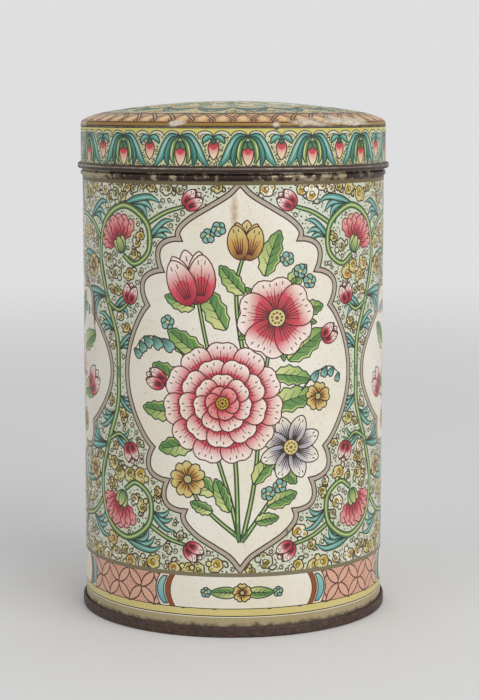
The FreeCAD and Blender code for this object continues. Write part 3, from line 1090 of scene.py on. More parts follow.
def add(
    tree: bpy.types.NodeTree, kind: str, links: Optional[dict] = None, **settings: object
) -> bpy.types.Node:
    """Adds a node to a material.

    Args:
        tree: the material's nodes.
        kind: the node's type.
        links: for each input, a socket to link or a value to set.
        settings: the node's own settings.

    Returns:
        The node.
    """
    node = tree.nodes.new(kind)
    for setting, value in settings.items():
        setattr(node, setting, value)
    for key, value in (links or {}).items():
        if isinstance(value, bpy.types.NodeSocket):
            tree.links.new(value, node.inputs[key])
        else:
            node.inputs[key].default_value = value
    return node


def pitch(size: float) -> float:
    """Returns the texture scale that gives features of a size in millimetres on Object coordinates."""
    return 1 / (size * MM)


MIX_A, MIX_B, MIX_RESULT = 6, 7, 2
COLOURS = "RGBA"


@dataclass(frozen=True)
class Rub:
    """A place that handling has marked: its bearing from the front, its level and its half sizes."""

    bearing: float
    level: float
    across: float
    tall: float
    radius: float = 45.2

    def mask(self, tree: bpy.types.NodeTree, where: bpy.types.NodeSocket) -> bpy.types.NodeSocket:
        """Adds nodes that rise from nothing at the place's edge to 1 in its middle.

        Args:
            tree: the material's nodes.
            where: the Object coordinates.

        Returns:
            The rising value.
        """
        angle = math.radians(self.bearing)
        centre = Vector((self.radius * math.sin(angle), -self.radius * math.cos(angle), self.level)) * MM
        scale = (1 / (self.across * MM), 1 / (self.across * MM), 1 / (self.tall * MM))
        away = add(tree, "ShaderNodeVectorMath", {0: where, 1: centre}, operation="SUBTRACT").outputs[0]
        share = add(tree, "ShaderNodeVectorMath", {0: away, 1: scale}, operation="MULTIPLY").outputs[0]
        reach = add(tree, "ShaderNodeVectorMath", {0: share}, operation="LENGTH").outputs["Value"]
        return add(tree, "ShaderNodeMapRange", {0: reach, 1: 0.0, 2: 1.0, 3: 1.0, 4: 0.0}).outputs[0]


@dataclass(frozen=True)
class PrintedTin:
    """Lithographed and varnished tinplate: flat ink under a thin varnish that time has yellowed and dulled.

    The eye sees even colours with a soft gloss, a faint warm mottle and fine specks, a few brown stains,
    and ink that is rubbed or flaked off down to the metal along the folded edges. On the lid's top the
    rubbed places are pale streaks along the rings, and the wide one at the right of the corner is both
    worn ink and a painted highlight of the lamps on the corner.
    """

    GONE, EDGE_WEAR, RUB_WEAR = 0.77, 0.55, 0.5

    name: str
    worn_low: tuple[float, float]
    worn_high: tuple[float, float]
    rubs: tuple[Rub, ...] = ()
    stains: tuple[Rub, ...] = ()
    # the two colours of the worn places; on the lid's top they are pale, and there they are partly a painted
    # highlight
    rust: str = "#33271F"
    bare: str = "#6B5A49"
    varnish: str = "#E6D3A6"
    creep: float = 0.04
    shine: float = 0.28
    streak: float = 1.0
    fleck: str = "#8C7C62"
    stain: str = "#C09468"

    def wear_and_highlight(
        self, tree: bpy.types.NodeTree, where: bpy.types.NodeSocket, flakes: bpy.types.NodeSocket
    ) -> bpy.types.NodeSocket:
        """Adds nodes that tell where the ink is gone; on the lid's top the same places also carry a painted
        highlight.

        Args:
            tree: the material's nodes.
            where: the Object coordinates.
            flakes: the ragged noise that the worn places' edges follow.

        Returns:
            A value from 0, sound, to 1, gone.
        """
        height = add(tree, "ShaderNodeSeparateXYZ", {0: where}).outputs["Z"]
        share = None
        most = self.EDGE_WEAR
        for (start, end), first, last in ((self.worn_low, most, 0.0), (self.worn_high, 0.0, most)):
            limits = {0: height, 1: start * MM, 2: end * MM, 3: first, 4: last}
            edge = add(tree, "ShaderNodeMapRange", limits).outputs[0]
            share = edge if share is None else add(
                tree, "ShaderNodeMath", {0: share, 1: edge}, operation="MAXIMUM"
            ).outputs[0]
        for rub in self.rubs:
            bare = rub.mask(tree, where)
            rise = add(tree, "ShaderNodeMath", {0: bare, 1: self.RUB_WEAR}, operation="MULTIPLY").outputs[0]
            share = add(tree, "ShaderNodeMath", {0: share, 1: rise}, operation="MAXIMUM").outputs[0]
        reach = add(tree, "ShaderNodeMath", {0: flakes, 1: share}, operation="ADD").outputs[0]
        limits = {0: reach, 1: self.GONE - self.creep, 2: self.GONE + self.creep, 3: 0.0, 4: 1.0}
        return add(tree, "ShaderNodeMapRange", limits).outputs[0]

    def material(self) -> bpy.types.Material:
        """Makes the finish.

        Returns:
            The finish as a material.
        """
        finish = bpy.data.materials.new(self.name)
        finish.use_nodes = True
        tree = finish.node_tree
        shader = tree.nodes["Principled BSDF"]
        where = add(tree, "ShaderNodeTexCoord").outputs["Object"]
        colour = add(tree, "ShaderNodeAttribute", attribute_name="ink").outputs["Color"]
        mottle = add(
            tree, "ShaderNodeTexNoise", {"Vector": where, "Scale": pitch(16), "Detail": 5.0}
        ).outputs["Fac"]
        haze = add(tree, "ShaderNodeMapRange", {0: mottle, 1: 0.35, 2: 0.75, 3: 0.05, 4: 0.4}).outputs[0]
        colour = add(
            tree, "ShaderNodeMix", {0: haze, MIX_A: colour, MIX_B: linear(self.varnish)},
            data_type=COLOURS, blend_type="MULTIPLY",
        ).outputs[MIX_RESULT]
        grain = add(
            tree, "ShaderNodeTexNoise", {"Vector": where, "Scale": pitch(0.5), "Detail": 2.0}
        ).outputs["Fac"]
        flecks = add(tree, "ShaderNodeMapRange", {0: grain, 1: 0.6, 2: 0.74, 3: 0.0, 4: 0.4}).outputs[0]
        colour = add(
            tree, "ShaderNodeMix", {0: flecks, MIX_A: colour, MIX_B: linear(self.fleck)}, data_type=COLOURS
        ).outputs[MIX_RESULT]
        drawn_out = (1 / self.streak, 1 / self.streak, 1.0)
        level = add(tree, "ShaderNodeVectorMath", {0: where, 1: drawn_out}, operation="MULTIPLY").outputs[0]
        flakes = add(
            tree, "ShaderNodeTexNoise",
            {"Vector": level, "Scale": pitch(2.0), "Detail": 6.0, "Roughness": 0.65},
        ).outputs["Fac"]
        for place in self.stains:
            ragged = add(
                tree, "ShaderNodeMath", {0: place.mask(tree, where), 1: flakes}, operation="MULTIPLY"
            ).outputs[0]
            soaked = add(tree, "ShaderNodeMapRange", {0: ragged, 1: 0.12, 2: 0.5, 3: 0.0, 4: 0.7}).outputs[0]
            colour = add(
                tree, "ShaderNodeMix", {0: soaked, MIX_A: colour, MIX_B: linear(self.stain)},
                data_type=COLOURS, blend_type="MULTIPLY",
            ).outputs[MIX_RESULT]
        wear_and_highlight = self.wear_and_highlight(tree, where, flakes)
        patches = add(tree, "ShaderNodeMapRange", {0: grain, 1: 0.38, 2: 0.62, 3: 0.0, 4: 1.0}).outputs[0]
        metal = add(
            tree, "ShaderNodeMix", {0: patches, MIX_A: linear(self.rust), MIX_B: linear(self.bare)},
            data_type=COLOURS,
        ).outputs[MIX_RESULT]
        colour = add(
            tree, "ShaderNodeMix", {0: wear_and_highlight, MIX_A: colour, MIX_B: metal}, data_type=COLOURS
        ).outputs[MIX_RESULT]
        gloss = add(tree, "ShaderNodeMapRange", {0: mottle, 1: 0.3, 2: 0.7, 3: 0.32, 4: 0.46}).outputs[0]
        rough = add(tree, "ShaderNodeMath", {0: wear_and_highlight, 1: 0.2, 2: gloss}, operation="MULTIPLY_ADD").outputs[0]
        dents = add(
            tree, "ShaderNodeTexNoise", {"Vector": where, "Scale": pitch(22), "Detail": 1.0}
        ).outputs["Fac"]
        relief = {"Height": dents, "Distance": 0.25 * MM, "Strength": 0.5}
        bump = add(tree, "ShaderNodeBump", relief).outputs[0]
        tree.links.new(colour, shader.inputs["Base Color"])
        tree.links.new(rough, shader.inputs["Roughness"])
        tree.links.new(bump, shader.inputs["Normal"])
        shader.inputs["Specular IOR Level"].default_value = self.shine
        shader.inputs["Coat Weight"].default_value = self.shine / 4
        shader.inputs["Coat Roughness"].default_value = 0.18
        return finish


@dataclass(frozen=True)
class AgedTinplate:
    """Bare or lacquered tinplate: rolled steel with a thin tin coat that has gone grey and rusted.

    The eye sees a dull grey metal with cloudy darker patches, brown rust where it is handled and wetted,
    and, on a band at a given height, a second colour with pale flakes: dark metal with flakes of old print
    on the body's bead, and on the lid's curl a lighter line that is a painted highlight along its ridge.
    """

    name: str
    tin: str = "#97918A"
    cloud: str = "#6F685F"
    rust: str = "#3A2D26"
    ochre: str = "#6E5138"
    rust_share: float = 0.3
    roughness: float = 0.42
    metallic: float = 0.6
    # the band's height range: a dark band with pale flakes on the body's bead, a painted highlight line on
    # the lid's curl
    ring: Optional[tuple[float, float]] = None
    ring_base_and_highlight: str = "#34261F"
    ring_flake_and_highlight: str = "#A89A7C"

    def ringed(
        self, tree: bpy.types.NodeTree, where: bpy.types.NodeSocket, colour: bpy.types.NodeSocket
    ) -> bpy.types.NodeSocket:
        """Adds nodes that paint a band of two colours with flakes: a dark band on the body's bead, and a
        painted highlight line along the lid's curl.

        Args:
            tree: the material's nodes.
            where: the Object coordinates.
            colour: the colour of the metal elsewhere.

        Returns:
            The colour with the ring on it.
        """
        height = add(tree, "ShaderNodeSeparateXYZ", {0: where}).outputs["Z"]
        low, high = (level * MM for level in self.ring)
        above = add(tree, "ShaderNodeMath", {0: height, 1: low}, operation="GREATER_THAN").outputs[0]
        below = add(tree, "ShaderNodeMath", {0: height, 1: high}, operation="LESS_THAN").outputs[0]
        inside = add(tree, "ShaderNodeMath", {0: above, 1: below}, operation="MULTIPLY").outputs[0]
        chips = add(
            tree, "ShaderNodeTexNoise",
            {"Vector": where, "Scale": pitch(2.4), "Detail": 7.0, "Roughness": 0.7},
        ).outputs["Fac"]
        stretch = add(
            tree, "ShaderNodeTexNoise", {"Vector": where, "Scale": pitch(24), "Detail": 1.0}
        ).outputs["Fac"]
        reach = add(
            tree, "ShaderNodeMath", {0: stretch, 1: 0.9, 2: chips}, operation="MULTIPLY_ADD"
        ).outputs[0]
        flaked = add(tree, "ShaderNodeMapRange", {0: reach, 1: 0.99, 2: 1.09, 3: 0.0, 4: 1.0}).outputs[0]
        ring = add(
            tree, "ShaderNodeMix", {0: flaked, MIX_A: linear(self.ring_base_and_highlight), MIX_B: linear(self.ring_flake_and_highlight)},
            data_type=COLOURS,
        ).outputs[MIX_RESULT]
        return add(
            tree, "ShaderNodeMix", {0: inside, MIX_A: colour, MIX_B: ring}, data_type=COLOURS
        ).outputs[MIX_RESULT]

    def material(self) -> bpy.types.Material:
        """Makes the finish.

        Returns:
            The finish as a material.
        """
        finish = bpy.data.materials.new(self.name)
        finish.use_nodes = True
        tree = finish.node_tree
        shader = tree.nodes["Principled BSDF"]
        where = add(tree, "ShaderNodeTexCoord").outputs["Object"]
        clouds = add(
            tree, "ShaderNodeTexNoise", {"Vector": where, "Scale": pitch(9), "Detail": 6.0}
        ).outputs["Fac"]
        colour = add(
            tree, "ShaderNodeMix", {0: clouds, MIX_A: linear(self.tin), MIX_B: linear(self.cloud)},
            data_type=COLOURS,
        ).outputs[MIX_RESULT]
        spots = add(
            tree, "ShaderNodeTexNoise", {"Vector": where, "Scale": pitch(3), "Detail": 8.0, "Roughness": 0.7}
        ).outputs["Fac"]
        level = 0.72 - 0.5 * self.rust_share
        limits = {0: spots, 1: level - 0.05, 2: level + 0.08, 3: 0.0, 4: 1.0}
        rusty = add(tree, "ShaderNodeMapRange", limits).outputs[0]
        bloom = add(
            tree, "ShaderNodeTexNoise", {"Vector": where, "Scale": pitch(0.9), "Detail": 4.0}
        ).outputs["Fac"]
        bloom = add(tree, "ShaderNodeMapRange", {0: bloom, 1: 0.35, 2: 0.68, 3: 0.0, 4: 1.0}).outputs[0]
        oxide = add(
            tree, "ShaderNodeMix", {0: bloom, MIX_A: linear(self.rust), MIX_B: linear(self.ochre)},
            data_type=COLOURS,
        ).outputs[MIX_RESULT]
        colour = add(
            tree, "ShaderNodeMix", {0: rusty, MIX_A: colour, MIX_B: oxide}, data_type=COLOURS
        ).outputs[MIX_RESULT]
        if self.ring:
            colour = self.ringed(tree, where, colour)
        sheen = add(tree, "ShaderNodeMapRange", {0: rusty, 3: self.metallic, 4: 0.0}).outputs[0]
        rough = add(
            tree, "ShaderNodeMapRange", {0: rusty, 3: self.roughness, 4: self.roughness + 0.22}
        ).outputs[0]
        relief = {"Height": spots, "Distance": 0.1 * MM, "Strength": 0.6}
        bump = add(tree, "ShaderNodeBump", relief).outputs[0]
        tree.links.new(colour, shader.inputs["Base Color"])
        tree.links.new(sheen, shader.inputs["Metallic"])
        tree.links.new(rough, shader.inputs["Roughness"])
        tree.links.new(bump, shader.inputs["Normal"])
        return finish


def dress(piece: bpy.types.Object, finish: bpy.types.Material) -> None:
    """Gives a piece one finish all over."""
    piece.data.materials.clear()
    piece.data.materials.append(finish)


@dataclass(frozen=True)
class Rolled:
    """A printed sheet that is rolled to a tube and closed by an upright seam at the back right."""

    radius: float = 45.0
    seam: float = 131.25
    margin: float = 1.4

    def roll(self) -> Roll:
        """Returns the tube that the sheet is rolled to."""
        return Roll(self.radius)

    def ends(self) -> tuple[float, float]:
        """Returns where the print starts and ends, at the two sides of the seam."""
        left = self.roll().length(self.seam - 360) + self.margin
        return left, self.roll().length(self.seam) - self.margin


@dataclass(frozen=True)
class Tin(Rolled):
    """The tin itself: the rolled body with its printed sheet, and the base end."""

    foot: float = 3.05
    head: float = 129.7
    label_line: float = 8.12
    label_foot: float = 8.37
    label_head: float = 17.5
    field_foot: float = 18.7
    field_head: float = 128.6
    field_middle: float = 74.5
    print_turn: float = 2.6
    band_turn: float = 0.8
    quarter: float = 90.0
    front_label: float = 24.85
    side_label: float = 14.9
    label_bow: float = 1.5
    diaper_middle: float = 50.65
    diaper_reach: float = 18.0
    cuts: tuple[float, ...] = (-125.625, -48.75, 54.375)
    pieces: tuple[str, ...] = ("printed_back", "printed_left", "printed_front", "printed_right")

    def panel_axis(self, quarters: float) -> float:
        """Returns the middle of a panel that is some quarters of a turn round from the front one."""
        return self.roll().length(self.print_turn + quarters * self.quarter)

    @staticmethod
    def mirrored(side: np.ndarray) -> np.ndarray:
        """Returns a closed outline from its right half, top to bottom, the two ends on the axis."""
        return np.vstack([side, side[-2:0:-1] * (-1, 1)])[::-1]

    def cartouche(self) -> np.ndarray:
        """Outlines a large panel, pointed and lobed, about its own middle.

        Returns:
            The outline.
        """
        top = [(0, 54.6), (3.3, 51.3), (9.0, 47.8), (13.7, 45.0), (16.6, 42.6), (17.7, 40.6), (17.2, 39.0)]
        cusps = [(17.2, 39.0), (22.7, 30.1), (27.4, 20.0), (25.9, -20.5), (21.2, -29.7), (15.9, -38.2)]
        kinds = ((0.38, 12), (0.38, 12), (0.21, 24), (0.38, 12), (0.38, 12))
        lobes = [lobe(start, end, *kind) for start, end, kind in zip(cusps, cusps[1:], kinds)]
        low = [(15.9, -38.2), (16.4, -39.9), (15.4, -42.2), (12.0, -45.4), (7.0, -48.5), (2.9, -51.2)]
        return self.mirrored(np.vstack([curve(top)[:-1], *lobes, curve([*low, (0, -54.8)])]))

    def medallion(self) -> np.ndarray:
        """Outlines a small side panel, pointed and lobed, about its own middle.

        Returns:
            The outline.
        """
        top = curve([(0, 34), (2.4, 30.6), (6.2, 27.6), (9.9, 25.2), (9.4, 23.6)])[:-1]
        cusps = [(9.4, 23.6), (16.6, 16.4), (16.6, -16.4), (9.4, -23.6)]
        kinds = ((0.36, 12), (0.37, 20), (0.36, 12))
        lobes = [lobe(start, end, *kind) for start, end, kind in zip(cusps, cusps[1:], kinds)]
        low = curve([(9.4, -23.6), (9.9, -25.2), (6.2, -27.6), (2.4, -30.6), (0, -34)])
        return self.mirrored(np.vstack([top, *lobes, low]))

    @staticmethod
    def framed(pen: Pen, outline: np.ndarray) -> None:
        """Draws a cream panel in a taupe frame with dark edges."""
        for by, ink in ((1.0, Ink.KEY), (0.6, Ink.TAUPE), (-0.4, Ink.KEY), (-0.8, Ink.CREAM)):
            pen.sheet.fill(grown(pen.placed(outline), by), ink)

    @staticmethod
    def posy(pen: Pen) -> None:
        """Draws the large panel's spray of mixed garden flowers.

        Args:
            pen: a pen at the panel's middle.
        """
        stems = (
            ((0, -47), (-3, -34), (-7, -20), (-7, -12)),
            ((0.5, -47), (4, -30), (6, -8), (9, 14)),
            ((-0.5, -46), (-2, -18), (-9, 8), (-12, 23)),
            ((1, -46), (8, -36), (14, -27), (16, -20)),
            ((-1, -45), (-7, -40), (-12, -35), (-14.5, -30)),
            ((5, -10), (0, 12), (-1, 26), (1, 35)),
            ((-9, -2), (-17, 0), (-22, -2)),
            ((12, 8), (20, 8), (25, 11)),
        )
        for stem in stems:
            pen.stem(stem, (0.8, 0.6, 0.5))
        leaves = (
            (-7, -33, 58, 10, 5), (8, -36.5, -62, 9, 4.5), (-16, -2, 68, 11, 6), (-13.5, -18, 112, 10.5, 5.5),
            (9, -8, -70, 14, 6.5), (14, 5, -48, 14, 6.5), (-4, 14, 34, 14, 6), (7, 29, -12, 13, 5.5),
            (17.5, 18.5, -72, 7.5, 4.2), (-10, 6, 62, 13, 6), (10, -24, -128, 9, 4.5), (1, 24, 48, 10, 4.5),
            (4, -30, -30, 12, 4.5), (-3, -38, 30, 10, 4), (-19, -10, 92, 10, 5), (10, 1, -92, 11, 5),
            (-13, 20, 78, 9, 4), (14, 25.5, -34, 8, 4), (-8, -38, 76, 6.5, 3.2), (4.5, -41, -74, 6.5, 3.2),
        )
        for x, y, turn, length, width in leaves:
            Flora.leaf(pen.at(x, y, turn), length, width, bend=length * 0.12)
        Flora.bluebells(pen.at(-14, 5, 40, flip=-1), 16)
        Flora.bluebells(pen.at(18, -4, -30), 12, 4)
        Flora.tulip(pen.at(-22, -2, 66), 6.5)
        Flora.tulip(pen.at(25, 10.5, -62), 6)
        Flora.tulip(pen.at(-12.5, 21, 12), 15.5)
        Flora.tulip(pen.at(1.2, 33.5, -4), 11, Flora.AMBER)
        Flora.dog_rose(pen.at(10.5, 17, 10), 11.8)
        Flora.clematis(pen.at(14.8, -20), 9.6)
        Flora.primrose(pen.at(-15, -29, 20), 5.4)
        Flora.primrose(pen.at(23.5, -6, -10), 4.2)
        Flora.dahlia(pen.at(-5, -7), 17.5)
        blues = ((17.5, 30), (13.5, 33.5), (20.5, 27), (-21, 15.5), (8, -33), (11.5, -31), (-9, 40), (-6, 42))
        for x, y in blues:
            Flora.forget_me_not(pen.at(x, y, 7 * x), 1.9)

    @staticmethod
    def small_posy(pen: Pen) -> None:
        """Draws the side panel's sprig: one open flower with leaves, buds and bells.

        Args:
            pen: a pen at the panel's middle.
        """
        stems = (
            ((0, -25), (-1, -14), (0, -3)), ((0, -24), (5, -12), (12, -6)), ((0, -24), (-6, -13), (-13, -8)),
        )
        for stem in stems:
            pen.stem(stem, (0.7, 0.5))
        for x, y, turn in ((-8, -8, 75), (8, -8, -75), (-8, 5, 60), (8, 5, -60), (-3, 11, 18), (4, 11, -22)):
            Flora.leaf(pen.at(x, y, turn), 12, 5.5, bend=1.4)
        Flora.tulip(pen.at(14, -7, -48), 9)
        Flora.tulip(pen.at(-14, -8, 48), 9)
        Flora.bluebells(pen.at(3, 9, -8), 12, 4)
        Flora.bluebells(pen.at(-3, 9, 8, flip=-1), 12, 4)
        Flora.dog_rose(pen, 10)
        for x in (-8, 8):
            Flora.primrose(pen.at(x, -17), 3.6)

    @staticmethod
    def scrolls(pen: Pen) -> None:
        """Draws a quarter of the field between two panels: a coiled vine with leaves and flowers.

        Args:
            pen: a pen at the large panel's middle.
        """
        feathers = (
            (43.5, 21.5, -70, 1, 14, 4), (41.5, 17.5, 40, -1, 10, 3), (47.4, 31, -62, 1, 13, 4),
            (37, 48, 62, -1, 13, 4), (27.5, 38, 30, -1, 10, 3), (54, 43.5, 40, -1, 11, 3),
            (60, 45, -20, 1, 11, 3), (39.6, 11, -36, 1, 10, 3), (39.2, 6, 30, -1, 8, 3),
        )
        for x, y, turn, flip, length, fingers in feathers:
            Flora.feather(pen.at(x, y, turn, flip=flip), length, fingers)
        pen.stem([(46.3, 37), (52, 42.4), (58, 44.5), (64, 45)], (1.1, 0.9))
        pen.stem([(27.6, 43), (21.5, 46.4), (15.6, 48.2)], (1.0, 0.6))
        pen.stem([(38.8, 0), (39.4, 10), (44, 21), (47.5, 32)], (1.2, 1.4, 1.3))
        vine = [(44, 21), (47.5, 32), (45, 43), (36, 48), (27.8, 43.4), (27, 35.5), (32, 31.5), (36.6, 34)]
        pen.stem(vine, (1.3, 1.4, 1.2, 0.9))
        pen.stem([(43.4, 20), (38.6, 18), (34.6, 20.4)], (0.9, 0.6))
        Flora.carnation(pen.at(37.2, 35.6, -25), 8.4)
        Flora.tulip(pen.at(15.6, 48.1, 50), 6)
        Flora.tulip(pen.at(34.6, 20.2, 14), 6)
        Flora.primrose(pen.at(52.6, 30), 3.5)

    def field(self) -> Sheet:
        """Draws the panels and the scrolls of the field.

        Returns:
            The drawing.
        """
        drawing = Sheet()
        for turn in (-2, 0, 2):
            panel = Pen(drawing, self.panel_axis(turn), self.field_middle)
            for flip in (1, -1):
                side = panel.at(0, 0, flip=flip)
                self.scrolls(side)
                self.scrolls(Pen(drawing, side.x, side.y, 180, 1.0, -flip))
        for turn in (-3, -2, -1, 0, 1):
            middle = Pen(drawing, self.panel_axis(turn), self.field_middle)
            if turn % 2:
                for rise in (45.0, -46.0):
                    Flora.feather(middle.at(0, rise, 15), 13, 3)
                    Flora.feather(middle.at(0, rise, -15, flip=-1), 13, 3)
                    Flora.dahlia(middle.at(0, rise), 7.8)
                self.framed(middle, self.medallion())
                self.small_posy(middle)
            else:
                self.framed(middle, self.cartouche())
                self.posy(middle)
        return drawing

    def diaper(self, drawing: Sheet) -> None:
        """Draws crossing circles, as four-leaved knots on stippled salmon, between the labels.

        Args:
            drawing: the foot band's drawing.
        """
        middle, half = (self.label_foot + self.label_head) / 2, (self.label_head - self.label_foot) / 2
        leaf = petal(half * math.sqrt(2), 2.3, 0.0, 1.0, points=11)
        for turn in (-3, -2, -1, 0, 1, 2):
            centre = self.panel_axis(turn - 1) + self.roll().length(self.diaper_middle + self.band_turn)
            centre -= self.roll().length(2 * self.diaper_middle - self.quarter) * (turn % 2)
            stipple = Ground(40 + turn, Sheet())
            reach = self.roll().length(self.diaper_reach)
            low, high = (centre - reach, self.label_foot + 0.1), (centre + reach, self.label_head)
            for place in stipple.spots(low, high, 0.85, 0.05):
                drawing.fill(disc(0.24, 4, place), Ink.CORAL)
            for knot in (-2, -1, 0, 1, 2):
                for side in (45, 135, 225, 315):
                    pen = Pen(drawing, centre + knot * 2 * half, middle, side)
                    pen.shape(leaf, Ink.SALMON, line=Ink.UMBER, width=0.42)

    def foot_band(self) -> Sheet:
        """Draws the stripes above the base seam, and the band of plain labels between diapers.

        Returns:
            The drawing.
        """
        drawing = Sheet()
        left, right = self.ends()
        stripes = (
            (self.foot, 5.7, Ink.KHAKI), (5.7, 5.95, Ink.CREAM), (5.95, 6.25, Ink.KEY),
            (6.25, self.label_line, Ink.YELLOW), (self.label_line, self.label_head, Ink.SALMON),
        )
        for low, high, ink in stripes:
            drawing.block((left, low), (right, high), ink)
        self.diaper(drawing)
        for turn in (-3, -2, -1, 0, 1):
            half = self.roll().length(self.side_label if turn % 2 else self.front_label)
            middle = self.panel_axis(turn) + self.roll().length(self.band_turn)
            self.label(Pen(drawing, middle, self.label_foot), half, not turn % 2)
        drawing.block((left, self.label_line), (right, self.label_foot), Ink.KEY)
        drawing.block((left, self.label_head), (right, self.field_foot), Ink.DRAB)
        return drawing

    def label(self, pen: Pen, half: float, long: bool) -> None:
        """Draws a label with a bowed rust-red and a bowed blue-green bar at each end.

        Args:
            pen: a pen at the middle of its lower edge.
            half: half its length.
            long: whether it is a long one, which has a sprig in it.
        """
        height = self.label_head - self.label_foot
        rise = np.linspace(0, height, 9)
        sag = self.label_bow * (1 - (2 * rise / height - 1) ** 2)

        def panel(reach: float) -> np.ndarray:
            """Outlines a panel that ends a distance beyond the label, with bowed ends."""
            side = np.column_stack([half + reach + sag, rise])
            return np.vstack([side, side[::-1] * (-1, 1)])

        bands = (
            (5.0, Ink.KEY), (4.6, Ink.CREAM), (1.85, Ink.UMBER), (1.55, Ink.RUST), (0.3, Ink.UMBER),
            (0.0, Ink.CREAM),
        )
        for reach, ink in bands:
            pen.sheet.fill(pen.placed(panel(reach)), ink)
        ends = np.linspace(0.75, height - 0.75, 9)
        bow = half + self.label_bow * (1 - (2 * ends / height - 1) ** 2)
        crescent = np.column_stack([bow + 2.4, ends])
        thick = 1.75 * np.sin(np.linspace(0.12, math.pi - 0.12, 9)) ** 0.3
        outer = np.column_stack([bow + 2.4 + thick, ends])
        for flip in (1, -1):
            pen.at(0, 0, flip=flip).shape(np.vstack([crescent, outer[::-1]]), Ink.AZURE, Ink.SKY, (0.1, 0.9))
            if long:
                Flora.leaf(pen.at(flip * 1.4, height / 2, flip * -90), 7.5, 3.0, teeth=0)
                Flora.forget_me_not(pen.at(flip * 10.4, height / 2), 1.3)
        if long:
            Flora.primrose(pen.at(0, height / 2), 2.7)

    def drawing(self) -> Sheet:
        """Draws the whole field: ground, filling, panels and scrolls.

        Returns:
            The drawing.
        """
        left, right = self.ends()
        motifs = self.field()
        filling = Ground(11, motifs)
        filling.strew((left, self.field_foot), (right, self.field_head))
        paper = Sheet()
        paper.block((left, self.field_foot), (right, self.field_head), Ink.PAPER)
        sheet = Sheet(paper, filling.sheet, motifs)
        sheet.block((left, self.field_head), (right, self.head), Ink.GOLD)
        return sheet

    def build(self) -> list[bpy.types.Object]:
        """Makes the printed pieces and dresses them and the metal.

        Returns:
            The printed pieces.
        """
        left, right = self.ends()
        starts = [left, *(self.roll().length(cut) for cut in self.cuts), right]
        field, band = Press(self.drawing(), self.roll()), Press(self.foot_band(), self.roll())
        made = []
        for name, start, end in zip(self.pieces, starts, starts[1:]):
            made.append(field.make(name, corners((start, self.field_foot), (end, self.head))))
        made.append(band.make("printed_foot_band", corners((left, self.foot), (right, self.field_foot))))
        stains = (Rub(0.6, 121.0, 1.9, 10, 45), Rub(-150, 60, 6, 12, 45), Rub(75, 100, 4, 9, 45))
        rubs = (Rub(-64, 90, 1.2, 14, 45), Rub(118, 40, 1.4, 10, 45), Rub(20, 30, 0.7, 2, 45))
        sheet = PrintedTin("printed_body_sheet", (2.4, 4.8), (129.0, 130.6), rubs, stains, creep=0.13)
        finish = sheet.material()
        for piece in made:
            dress(piece, finish)
            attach(piece, "tin")
        wall = AgedTinplate("tinned_body_sheet", rust_share=0.3, ring=(129.6, 131.95))
        base = AgedTinplate(
            "rusted_base_end", tin="#574738", cloud="#2F241C", rust="#1C1310", ochre="#573B2C",
            rust_share=0.6, roughness=0.4, metallic=0.4,
        )
        dress(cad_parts["body_wall"], wall.material())
        dress(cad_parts["base_end"], base.material())
        return made


